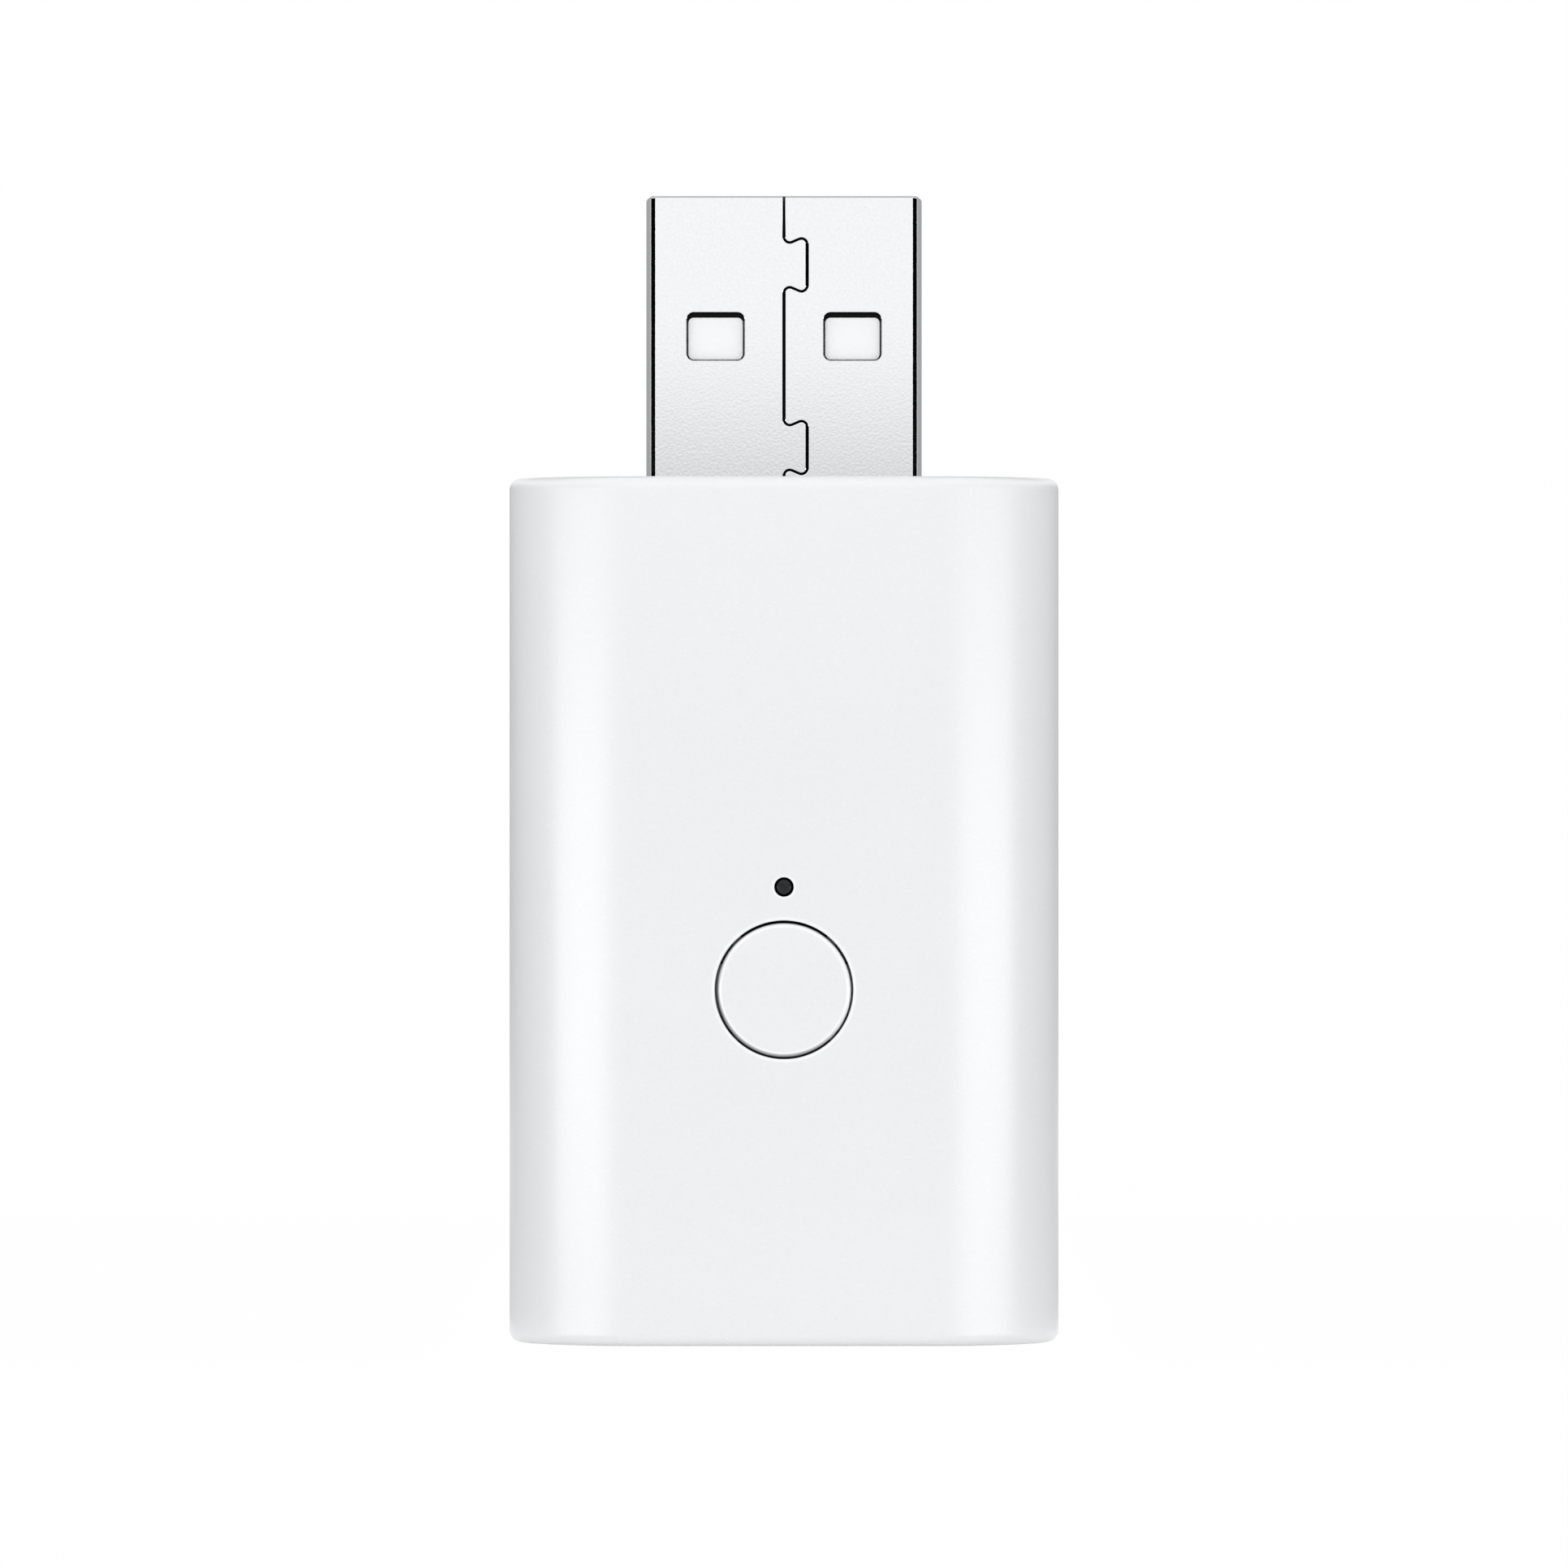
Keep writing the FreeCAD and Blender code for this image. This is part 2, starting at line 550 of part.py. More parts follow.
def rear_shell():
    """Plain white moulded shell with the locating lip, snap beads, posts and pins."""
    body = start_shell("rear_shell", keeps_front=False)
    lip = sketch_on(body, "rear_lip", "XZ_Plane")
    outer = "wall - lip_wall"
    rectangle(lip, f"{outer} - body_width / 2", outer,
              f"body_width / 2 - ({outer})", f"body_height - ({outer})")
    rectangle(lip, "wall - body_width / 2", "wall", "body_width / 2 - wall", "body_height - wall")
    pad(body, lip, "lip_height")
    gate = sketch_on(body, "rear_lip_gate", "XY_Plane", "body_height")
    reach = "plug_width / 2 + fit_gap"
    rectangle(gate, f"-({reach})", "-plug_depth / 2 - fit_gap", reach, "0")
    pocket(body, gate, "2 * wall")
    bead = sketch_on(body, "rear_snap_bead", "XY_Plane", "snap_low")
    for side in (-1, 1):
        inner = f"{side} * (body_width / 2 - wall + lip_wall / 2)"
        outer = f"{side} * (body_width / 2 - wall + lip_wall + snap_reach)"
        rectangle(bead, inner, "snap_tip - lip_height", outer, "snap_tip + snap_depth - lip_height")
    beads = pad(body, bead, "snap_length")
    repeat(body, beads, "Z_Axis", "snap_pitch", 2)
    posts = sketch_on(body, "rear_posts", "XZ_Plane", f"-{BOARD_BACK}")
    for across, up in post_places():
        circle(posts, across, up, "post_diameter")
    pad(body, posts, f"{INNER_FACE} + boss_root - {BOARD_BACK}", flip=True)
    pins = sketch_on(body, "rear_pins", "XZ_Plane", f"-{BOARD_BACK}")
    for across, up in post_places():
        circle(pins, across, up, "pin_diameter")
    pad(body, pins, "board_sheet + pin_entry")
    cradle(body, "rear", front=False)
    return body


# Plug

def seam_line(offset):
    """One side of the seam, from above the mouth to below the shell, as lines and arcs.
    The sheet's left end has dovetail tabs that lie in sockets of its right end.
    The line keeps the distance offset to the right of the seam's middle line."""
    reach = value("tab_reach")
    curl = value("curl_radius")
    mouth = value(MOUTH)
    low = value(PLUG_LOW)
    up = FreeCAD.Vector(0, 0, 1)
    neck_centre = FreeCAD.Vector(curl, value("tab_neck / 2") + curl, 0)
    tip_centre = FreeCAD.Vector(reach - curl, value("tab_tip / 2") - curl, 0)
    between = tip_centre - neck_centre
    slope = math.asin(2 * curl / between.Length) + math.atan2(between.y, between.x)
    neck_radius = curl - offset
    tip_radius = curl + offset

    def on_circle(centre, radius, angle):
        return centre + FreeCAD.Vector(radius * math.cos(angle), radius * math.sin(angle), 0)

    turns = [(neck_centre, neck_radius, math.pi, 1.5 * math.pi + slope),
             (tip_centre, tip_radius, math.pi / 2 + slope, 0.0)]
    line = []
    cursor = FreeCAD.Vector(offset, mouth + 1, 0)
    for step in (0, 1):
        middle = FreeCAD.Vector(0, mouth - value("tab_drop") - step * value("tab_pitch"), 0)
        mirrored = [(centre, radius, -end, -start) for centre, radius, start, end in reversed(turns)]
        for above, arcs in ((1, turns), (-1, mirrored)):
            for centre, radius, entry, leave in arcs:
                placed = middle + FreeCAD.Vector(centre.x, above * centre.y, 0)
                line.append(Part.LineSegment(cursor, on_circle(placed, radius, entry)))
                angles = sorted((entry, leave))
                line.append(Part.ArcOfCircle(Part.Circle(placed, up, radius), *angles))
                cursor = on_circle(placed, radius, leave)
    line.append(Part.LineSegment(cursor, FreeCAD.Vector(offset, low - 1, 0)))
    return line


def usb_shell():
    """Steel sheet folded round into a rectangular tube, with a dovetail seam in the front wall,
    two latch windows in each broad wall and two solder legs."""
    body = start_body("usb_shell")
    length = f"{MOUTH} - {PLUG_LOW}"
    outside = sketch_on(body, "shell_outside", "XY_Plane", PLUG_LOW)
    rectangle(outside, "-plug_width / 2", "-plug_depth / 2", "plug_width / 2", "plug_depth / 2")
    pad(body, outside, length)
    fillet(body, "plug_corner", lambda edge: runs_along(edge, "z"))
    mouth = value(MOUTH)
    chamfer(body, "mouth_bevel", lambda edge: at_height(edge, mouth))
    inside = sketch_on(body, "shell_inside", "XY_Plane", PLUG_LOW)
    inner_across = "plug_width / 2 - sheet"
    inner_deep = "plug_depth / 2 - sheet"
    rectangle(inside, f"-({inner_across})", f"-({inner_deep})", inner_across, inner_deep)
    pocket(body, inside, length, flip=True)
    fillet(body, "plug_corner - sheet", lambda edge: runs_along(edge, "z")
           and abs(abs(edge.Vertexes[0].X) - value(inner_across)) < 1e-6
           and abs(abs(edge.Vertexes[0].Y) - value(inner_deep)) < 1e-6)
    windows = sketch_on(body, "shell_windows", "XZ_Plane")
    for side in (-1, 1):
        middle = f"{side} * window_spacing / 2"
        rectangle(windows, f"{middle} - window_width / 2", f"{MOUTH} - window_drop - window_height / 2",
                  f"{middle} + window_width / 2", f"{MOUTH} - window_drop + window_height / 2")
    pocket(body, windows)
    window_edge = value("window_spacing / 2 + window_width / 2") + 1e-6
    fillet(body, "window_corner", lambda edge: runs_along(edge, "y")
           and abs(edge.Vertexes[0].X) < window_edge)
    seam = sketch_on(body, "shell_seam", "XZ_Plane")
    half = value("seam_gap / 2")
    left_side = seam_line(-half)
    right_side = seam_line(half)
    seam.addGeometry(left_side + right_side)
    seam.addGeometry(Part.LineSegment(left_side[0].StartPoint, right_side[0].StartPoint))
    seam.addGeometry(Part.LineSegment(left_side[-1].EndPoint, right_side[-1].EndPoint))
    pocket(body, seam, "plug_depth", flip=True)
    legs = sketch_on(body, "shell_legs", "XY_Plane", f"{PLUG_LOW} + sheet")
    for side in (-1, 1):
        rectangle(legs, f"{side} * ({inner_across})", f"board_front + board_sheet / 2 - leg_width / 2",
                  f"{side} * plug_width / 2", f"board_front + board_sheet / 2 + leg_width / 2")
    pad(body, legs, "leg_length + sheet", flip=True)
    return body


def contact_places():
    """Name, X and tip inset of the four contacts, from left to right."""
    return [
        ("usb_contact_power", "-power_spacing / 2", "power_inset"),
        ("usb_contact_data_minus", "-data_spacing / 2", "data_inset"),
        ("usb_contact_data_plus", "data_spacing / 2", "data_inset"),
        ("usb_contact_ground", "power_spacing / 2", "power_inset"),
    ]


def usb_insulator():
    """White moulded tongue in the front half of the plug, with a groove for each contact
    and two latch bumps that spring into the windows of the seam side."""
    body = start_body("usb_insulator")
    half_width = "plug_width / 2 - sheet - fit_gap"
    block = sketch_on(body, "tongue_block", "XY_Plane", TONGUE_LOW)
    rectangle(block, f"-({half_width})", TONGUE_FRONT, half_width, TONGUE_BACK)
    pad(body, block, "tongue_length")
    front = value(TONGUE_FRONT)
    fillet(body, "plug_corner - sheet", lambda edge: runs_along(edge, "z") and at_height(edge, front, "y"))
    tip = value(TONGUE_HIGH)
    chamfer(body, "tongue_bevel", lambda edge: runs_along(edge, "x") and at_height(edge, tip)
            and edge.Vertexes[0].Y > value(TONGUE_BACK) - 1e-6)
    latches = sketch_on(body, "tongue_latches", "XZ_Plane", f"-{TONGUE_FRONT}")
    for side in (-1, 1):
        middle = f"{side} * window_spacing / 2"
        rectangle(latches, f"{middle} - window_width / 2 + latch_gap",
                  f"{MOUTH} - window_drop - window_height / 2 + latch_gap",
                  f"{middle} + window_width / 2 - latch_gap",
                  f"{MOUTH} - window_drop + window_height / 2 - latch_top_gap")
    pad(body, latches, "latch_proud")
    fillet(body, "window_corner - latch_gap", lambda edge: runs_along(edge, "y")
           and edge.BoundBox.YMax < front + 1e-6)
    grooves = sketch_on(body, "tongue_grooves", "XY_Plane", TONGUE_LOW)
    for name, across, inset in contact_places():
        if inset == "power_inset":
            rectangle(grooves, f"{across} - contact_width / 2", CONTACT_FRONT,
                      f"{across} + contact_width / 2", "plug_depth / 2")
    pocket(body, grooves, "tongue_length - power_inset", flip=True)
    short_grooves = sketch_on(body, "tongue_short_grooves", "XY_Plane", TONGUE_LOW)
    for name, across, inset in contact_places():
        if inset == "data_inset":
            rectangle(short_grooves, f"{across} - contact_width / 2", CONTACT_FRONT,
                      f"{across} + contact_width / 2", "plug_depth / 2")
    pocket(body, short_grooves, "tongue_length - data_inset", flip=True)
    return body


def usb_contact(label, across, inset):
    """Gilt strip that lies in its groove and ends as a tail on the board."""
    body = start_body(label)
    low = f"{TONGUE_LOW} - contact_tail"
    strip = sketch_on(body, label + "_strip", "XY_Plane", low)
    rectangle(strip, f"{across} - contact_width / 2", CONTACT_FRONT,
              f"{across} + contact_width / 2", "board_front")
    pad(body, strip, f"{TONGUE_HIGH} - {inset} - ({low})")
    tip = value(f"{TONGUE_HIGH} - {inset}")
    chamfer(body, "contact_sheet / 2", lambda edge: runs_along(edge, "x") and at_height(edge, tip)
            and edge.Vertexes[0].Y > value("board_front") - 1e-6)
    return body


# Circuit board

def main_board():
    """Board with a neck inside the plug shell, slots for the solder legs and two pin holes."""
    body = start_body("main_board")
    neck = "plug_width / 2 - sheet - neck_gap"
    slot_side = "plug_width / 2 + slot_gap"
    outline = sketch_on(body, "board_outline", "XZ_Plane", f"-{BOARD_BACK}")
    right_half = [(BOARD_SIDE, BOARD_LOW), (BOARD_SIDE, BOARD_SHOULDER), (slot_side, BOARD_SHOULDER),
                  (slot_side, SLOT_LOW), (neck, SLOT_LOW), (neck, f"{BOARD_SHOULDER} + neck_length")]
    left_half = [(f"-({across})", up) for across, up in reversed(right_half)]
    polygon(outline, right_half + left_half)
    pad(body, outline, "board_sheet")
    holes = sketch_on(body, "board_pin_holes", "XZ_Plane")
    for across, up in post_places():
        circle(holes, across, up, "pin_diameter + pin_gap")
    pocket(body, holes)
    return body


# Push button and its switch

def button_cap():
    """Round white button with two ears that keep it behind the front wall."""
    body = start_body("button_cap")
    face = "-body_depth / 2"
    back = f"{EAR_FACE} + ear_thickness"
    mid_bevel = "button_round * (1 - sqrt(0.5))"
    profile = sketch_on(body, "button_profile", "XY_Plane", "button_height")
    polygon(profile, [("0", face), (f"{BUTTON_RADIUS} - button_round", face),
                      (f"{BUTTON_RADIUS} - {mid_bevel}", f"{face} + {mid_bevel}"),
                      (BUTTON_RADIUS, f"{face} + button_round"), (BUTTON_RADIUS, back),
                      ("pusher_diameter / 2", back), ("pusher_diameter / 2", STEM_TOP), ("0", STEM_TOP)])
    revolve(body, profile)
    ears = sketch_on(body, "button_ears", "XZ_Plane", f"-({back})")
    reach = f"{BUTTON_RADIUS} + ear_reach"
    rectangle(ears, f"-({reach})", "button_height - ear_width / 2", reach, "button_height + ear_width / 2")
    pad(body, ears, "ear_thickness")
    return body


def turned_piece(label, height, corners):
    """A piece turned about the Y direction at a height; corners are radius and Y."""
    body = start_body(label)
    profile = sketch_on(body, label + "_profile", "XY_Plane", height)
    polygon(profile, corners)
    revolve(body, profile)
    return body


def light_pipe():
    """Smoked light guide with a collar in the boss of the front shell."""
    nose = "light_hole / 2 - light_gap"
    collar_front = f"-{INNER_FACE}"
    collar_back = f"light_collar_length - {INNER_FACE}"
    end = "board_front - diode_height - diode_lens - light_air"
    face = "light_sink - body_depth / 2"
    return turned_piece("light_pipe", LIGHT_HEIGHT, [
        ("0", face), (f"{nose} - light_bevel", face), (nose, f"{face} + light_bevel"),
        (nose, collar_front), ("light_collar / 2", collar_front), ("light_collar / 2", collar_back),
        ("light_rod / 2", collar_back), ("light_rod / 2", end), ("0", end)])


def switch_stem():
    """Black plunger with a foot under the steel cover and a nose on the dome."""
    foot_back = f"{FOOT_FACE} + stem_foot_height"
    return turned_piece("switch_stem", "button_height", [
        ("0", STEM_TOP), ("stem_diameter / 2", STEM_TOP), ("stem_diameter / 2", FOOT_FACE),
        ("stem_foot / 2", FOOT_FACE), ("stem_foot / 2", foot_back), ("stem_nose / 2", foot_back),
        ("stem_nose / 2", DOME_TOP), ("0", DOME_TOP)])


def switch_dome():
    """Snap dome: a thin cone with a flat top that rests on the floor of the well."""
    slope = "(dome_diameter - dome_flat) / 2 / dome_rise"
    under_top = f"{DOME_TOP} + dome_sheet"
    return turned_piece("switch_dome", "button_height", [
        ("0", DOME_TOP), ("dome_flat / 2", DOME_TOP), ("dome_diameter / 2", WELL_FLOOR),
        (f"dome_diameter / 2 - dome_sheet * {slope}", WELL_FLOOR), ("dome_flat / 2", under_top),
        ("0", under_top)])


def switch_square(body, name, offset):
    sketch = sketch_on(body, name, "XZ_Plane", offset)
    rectangle(sketch, "-switch_side / 2", "button_height - switch_side / 2",
              "switch_side / 2", "button_height + switch_side / 2")
    return sketch


def switch_base():
    """Black moulded base with a round well for the dome and the plunger's foot."""
    body = start_body("switch_base")
    pad(body, switch_square(body, "switch_block", "-board_front"), "switch_base")
    well = sketch_on(body, "switch_well", "XZ_Plane", f"-{SWITCH_FACE}")
    circle(well, "0", "button_height", "well_diameter")
    pocket(body, well, "well_depth")
    return body


def switch_cover():
    """Steel cover plate with a round hole for the plunger."""
    body = start_body("switch_cover")
    pad(body, switch_square(body, "cover_plate", f"-{SWITCH_FACE}"), "switch_lid")
    hole = sketch_on(body, "cover_hole", "XZ_Plane")
    circle(hole, "0", "button_height", "stem_diameter + stem_gap")
    pocket(body, hole)
    return body


def on_front(name, across, up, length, width, height):
    """A block on the front face of the board, centred at across and up."""
    return box(name, (f"{across} - ({length}) / 2", f"board_front - ({height})", f"{up} - ({width}) / 2"),
               (length, height, width))


def switch_terminals():
    """Four tinned terminals beside the switch."""
    members = []
    for side in (-1, 1):
        for above in (-1, 1):
            across = f"{side} * (switch_side / 2 + terminal_reach / 2)"
            up = f"button_height + {above} * terminal_spacing / 2"
            members.append(on_front(f"terminal_{len(members) + 1}", across, up,
                                    "terminal_reach", "terminal_width", "terminal_sheet"))
    return group("Part::Compound", "switch_terminals", members)


def status_led():
    """Light diode: ceramic base with a clear lens on it."""
    base = on_front("diode_base", "0", LIGHT_HEIGHT, "diode_length", "diode_width", "diode_height")
    lens = on_front("diode_cover", "0", LIGHT_HEIGHT, "diode_lens_length", "diode_width",
                    "diode_height + diode_lens")
    return group("Part::MultiFuse", "status_led", [base, lens])


# Radio module on the back of the board

def radio_board():
    """Small board with half round solder edges along both long sides."""
    body = start_body("radio_board")
    outline = sketch_on(body, "module_outline", "XZ_Plane", f"-{MODULE_BACK}")
    rectangle(outline, f"-{MODULE_SIDE}", MODULE_LOW, MODULE_SIDE, MODULE_HIGH)
    pad(body, outline, "module_sheet")
    edges = sketch_on(body, "module_edge_pads", "XZ_Plane")
    for side in (-1, 1):
        circle(edges, f"{side} * {MODULE_SIDE}", f"{MODULE_LOW} + edge_pad_low", "edge_pad_diameter")
    cut = pocket(body, edges)
    repeat(body, cut, "Z_Axis", "edge_pad_pitch * (edge_pad_count - 1)", int(value("edge_pad_count")))
    return body


def radio_shield():
    """Tinned can, open towards the radio board."""
    body = start_body("radio_shield")
    outside = sketch_on(body, "can_outside", "XZ_Plane", f"-{MODULE_BACK}")
    rectangle(outside, f"-{CAN_SIDE}", CAN_LOW, CAN_SIDE, CAN_HIGH)
    pad(body, outside, f"{CAN_BACK} - {MODULE_BACK}", flip=True)
    fillet(body, "can_round", lambda edge: runs_along(edge, "y"))
    inside = sketch_on(body, "can_inside", "XZ_Plane", f"-{MODULE_BACK}")
    rectangle(inside, f"can_sheet - {CAN_SIDE}", f"{CAN_LOW} + can_sheet",
              f"{CAN_SIDE} - can_sheet", f"{CAN_HIGH} - can_sheet")
    pocket(body, inside, f"{CAN_BACK} - {MODULE_BACK} - can_sheet")
    return body


def on_module(name, low, length, width, height):
    """A block on the back face of the radio board, centred across, with its lower edge at low."""
    made = box(name, (f"-({length}) / 2", MODULE_BACK, low), (length, height, width))
    made.Label = name
    return made


def radio_parts():
    """Radio chip and crystal under the can, ceramic antenna at the free end."""
    chip_low = f"{CAN_HIGH} - can_sheet - chip_margin - chip_side"
    crystal_low = f"{CAN_LOW} + can_sheet + crystal_margin"
    return [
        on_module("radio_chip", chip_low, "chip_side", "chip_side", "chip_height"),
        on_module("radio_crystal", crystal_low, "crystal_length", "crystal_width", "crystal_height"),
        on_module("radio_antenna", f"{MODULE_LOW} + antenna_margin", "antenna_length", "antenna_width",
                  "antenna_height"),
    ]


# Power and protection parts on the front of the board

def leaded_part(label, across, up):
    """A moulded package with three flat leads below and three above."""
    members = [on_front(f"{label}_package", across, up, "package_width", "package_length",
                        "package_height")]
    for place in (-1, 0, 1):
        for above in (-1, 1):
            centre = f"{up} + {above} * (package_length / 2 + lead_reach / 2)"
            members.append(on_front(f"{label}_lead_{len(members)}", f"{across} + {place} * lead_pitch",
                                    centre, "lead_width", "lead_reach", "lead_sheet"))
    return group("Part::MultiFuse", label, members)


def voltage_regulator():
    up = f"({SLOT_LOW} - part_gap - {LEAD_SPAN})"
    return leaded_part("voltage_regulator", f"regulator_inset - {BOARD_SIDE}", up)


def surge_diode():
    up = f"({TONGUE_LOW} - contact_tail - part_gap - {LEAD_SPAN})"
    return leaded_part("surge_diode", "0", up)


def power_fuse():
    made = on_front("power_fuse", f"{BOARD_SIDE} - fuse_inset", f"{SLOT_LOW} - part_gap - fuse_width / 2",
                    "fuse_length", "fuse_width", "fuse_height")
    made.Label = "power_fuse"
    return made


def board_capacitors():
    members = [on_front(f"capacitor_{i + 1}", f"{BOARD_SIDE} - capacitor_inset - {i} * capacitor_pitch",
                        LIGHT_HEIGHT, "capacitor_width", "capacitor_length", "capacitor_width")
               for i in range(3)]
    return group("Part::Compound", "board_capacitors", members)


def board_resistors():
    members = [on_front(f"resistor_{i + 1}", f"resistor_inset - {BOARD_SIDE} + {i} * resistor_pitch",
                        LIGHT_HEIGHT, "resistor_width", "resistor_length", "resistor_height")
               for i in range(4)]
    return group("Part::Compound", "board_resistors", members)


# The whole product

PIECES = [
    front_shell(),
    rear_shell(),
    usb_shell(),
    usb_insulator(),
    *[usb_contact(*place) for place in contact_places()],
    main_board(),
    button_cap(),
    light_pipe(),
    status_led(),
    switch_stem(),
    switch_dome(),
    switch_base(),
    switch_cover(),
    switch_terminals(),
    radio_board(),
    radio_shield(),
    *radio_parts(),
    voltage_regulator(),
    surge_diode(),
    power_fuse(),
    board_capacitors(),
    board_resistors(),
]

DOC.recompute()
for thing in DOC.Objects:
    if "Invalid" in thing.State or "Error" in thing.State:
        raise RuntimeError(f"{thing.Label} failed: {thing.State}")
os.makedirs("parts", exist_ok=True)
for piece in PIECES:
    shape = piece.Shape
    if shape.isNull() or not shape.isValid() or not shape.Solids:
        raise RuntimeError(f"{piece.Label} has no valid solid")
    shape.exportStep(f"parts/{piece.Label}.step")
    print(f"{piece.Label}: {len(shape.Solids)} solid(s), {shape.Volume:.2f} cubic mm")
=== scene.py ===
import math

import bmesh
import bpy
from mathutils import Matrix, Vector


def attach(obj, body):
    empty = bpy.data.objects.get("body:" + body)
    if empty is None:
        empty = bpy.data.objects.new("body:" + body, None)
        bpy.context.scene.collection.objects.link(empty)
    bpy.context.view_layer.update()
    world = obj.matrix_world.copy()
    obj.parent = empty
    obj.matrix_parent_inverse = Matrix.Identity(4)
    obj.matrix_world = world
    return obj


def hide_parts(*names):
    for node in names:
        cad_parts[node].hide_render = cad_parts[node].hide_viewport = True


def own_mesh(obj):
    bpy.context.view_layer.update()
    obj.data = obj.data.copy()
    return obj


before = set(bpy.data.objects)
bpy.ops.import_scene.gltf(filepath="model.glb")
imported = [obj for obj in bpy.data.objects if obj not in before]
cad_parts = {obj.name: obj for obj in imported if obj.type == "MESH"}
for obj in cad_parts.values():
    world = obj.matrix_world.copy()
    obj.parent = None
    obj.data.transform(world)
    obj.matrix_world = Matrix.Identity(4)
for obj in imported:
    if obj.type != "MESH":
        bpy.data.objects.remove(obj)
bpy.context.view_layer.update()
MM = 0.001


# Studio
# A small white part stands upright on a white table in a light tent, shot from half a metre away. A
# soft box hangs over the lens and two panels light the rounded sides. Black and grey cards beside,
# behind and above the part, and two that lie on the table, draw the edges of metal and plastic.

WHITE = (1.0, 1.0, 1.0, 1.0)
TENT_TINT = (0.985, 0.99, 1.0, 1.0)
PAPER = (0.9, 0.9, 0.9, 1.0)
PAPER_GLOW = 0.98
CAMERA_AWAY = 500.0
CAMERA_HEIGHT = 24.36
TABLE_REACH = 900.0
SWEEP_START = 350.0
SWEEP_BEND = 150.0
SWEEP_STEPS = 12


class Sock:
    """A shader socket that adds Math nodes when Python operators are used on it."""

    def __init__(self, nodes, socket):
        self.nodes = nodes
        self.socket = socket

    def math(self, operation, *values):
        """A Math node on the given values, which are sockets or numbers."""
        return self.nodes.add("ShaderNodeMath", {"operation": operation}, dict(enumerate(values)))

    def __add__(self, other):
        return self.math("ADD", self, other)

    def __sub__(self, other):
        return self.math("SUBTRACT", self, other)

    def __rsub__(self, other):
        return self.math("SUBTRACT", other, self)

    def __mul__(self, other):
        return self.math("MULTIPLY", self, other)

    def __truediv__(self, other):
        return self.math("DIVIDE", self, other)

    def __gt__(self, other):
        return self.math("GREATER_THAN", self, other)

    __radd__ = __add__
    __rmul__ = __mul__

    def smooth_step(self, low, high):
        """0 below low, 1 above high, and a soft rise between them."""
        return self.nodes.add("ShaderNodeMapRange", {"interpolation_type": "SMOOTHSTEP"},
                              {"Value": self, "From Min": low, "From Max": high})


class Nodes:
    """The node tree of one finish, panel or sky."""

    def __init__(self, owner):
        if isinstance(owner, bpy.types.GeometryNodeTree):
            self.tree = owner
        else:
            owner.use_nodes = True
            self.tree = owner.node_tree
            self.tree.nodes.clear()

    def add(self, kind, settings=None, values=None, output=0):
        """Makes a node, sets its settings, then its sockets' values or links, and returns an output."""
        node = self.tree.nodes.new(kind)
        for name, setting in (settings or {}).items():
            setattr(node, name, setting)
        for name, content in (values or {}).items():
            socket = node.inputs[name]
            if isinstance(content, Sock):
                self.tree.links.new(content.socket, socket)
            else:
                socket.default_value = content
        return Sock(self, node.outputs[output]) if len(node.outputs) else node

    def same(self, sock, output):
        """Another output of the node that a socket belongs to."""
        return Sock(self, sock.socket.node.outputs[output])


def split(nodes, place):
    """The three coordinates of a place."""
    x = nodes.add("ShaderNodeSeparateXYZ", values={"Vector": place}, output="X")
    return x, nodes.same(x, "Y"), nodes.same(x, "Z")


def facing(thing, place, aim):
    """Puts a panel or card at a place in millimetres, turns its face to the aim and hides it from the
    camera."""
    start = Vector(place) * MM
    thing.location = start
    thing.rotation_euler = (Vector(aim) * MM - start).to_track_quat("-Z", "Y").to_euler()
    thing.visible_camera = False
    scene.collection.objects.link(thing)


def soft_panel(name, place, aim, width, height, level):
    """A lit panel whose face has the given level, where 1 is the white of the backdrop."""
    lamp = bpy.data.lights.new(name, "AREA")
    lamp.shape = "RECTANGLE"
    lamp.size = width * MM
    lamp.size_y = height * MM
    lamp.energy = level * math.pi * width * MM * height * MM
    facing(bpy.data.objects.new(name, lamp), place, aim)


def card(name, place, aim, width, height, level, low_level=None, fade=(0, 0)):
    """A card that gives back an even grey of the given level. With a low level it fades to that one
    towards its lower edge, between the two fade heights."""
    surface = bpy.data.materials.new(name)
    nodes = Nodes(surface)
    grey = nodes.add("ShaderNodeEmission", values={"Color": WHITE, "Strength": level})
    if low_level is not None:
        dim = nodes.add("ShaderNodeEmission", values={"Color": WHITE, "Strength": low_level})
        _, up, _ = split(nodes, nodes.add("ShaderNodeTexCoord", output="Object"))
        start, end = ((z - place[2]) * MM for z in fade)
        grey = nodes.add("ShaderNodeMixShader", values={0: up.smooth_step(start, end), 1: dim, 2: grey})
    nodes.add("ShaderNodeOutputMaterial", values={"Surface": grey})
    corners = [(x * width * MM / 2, y * height * MM / 2, 0)
               for x, y in ((-1, -1), (1, -1), (1, 1), (-1, 1))]
    sheet = bpy.data.meshes.new(name)
    sheet.from_pydata(corners, [], [(0, 1, 2, 3)])
    sheet.materials.append(surface)
    board = bpy.data.objects.new(name, sheet)
    facing(board, place, aim)
    return board


scene = bpy.context.scene
scene.view_settings.view_transform = "Standard"

lens = bpy.data.cameras.new("lens")
lens.sensor_width = 36.0
lens.lens = 262.5
lens.clip_start = 0.01
lens.clip_end = 10.0
camera = bpy.data.objects.new("camera", lens)
scene.collection.objects.link(camera)
camera.location = (0.0, -CAMERA_AWAY * MM, CAMERA_HEIGHT * MM)
camera.rotation_euler = (math.radians(90.0), 0.0, 0.0)
scene.camera = camera

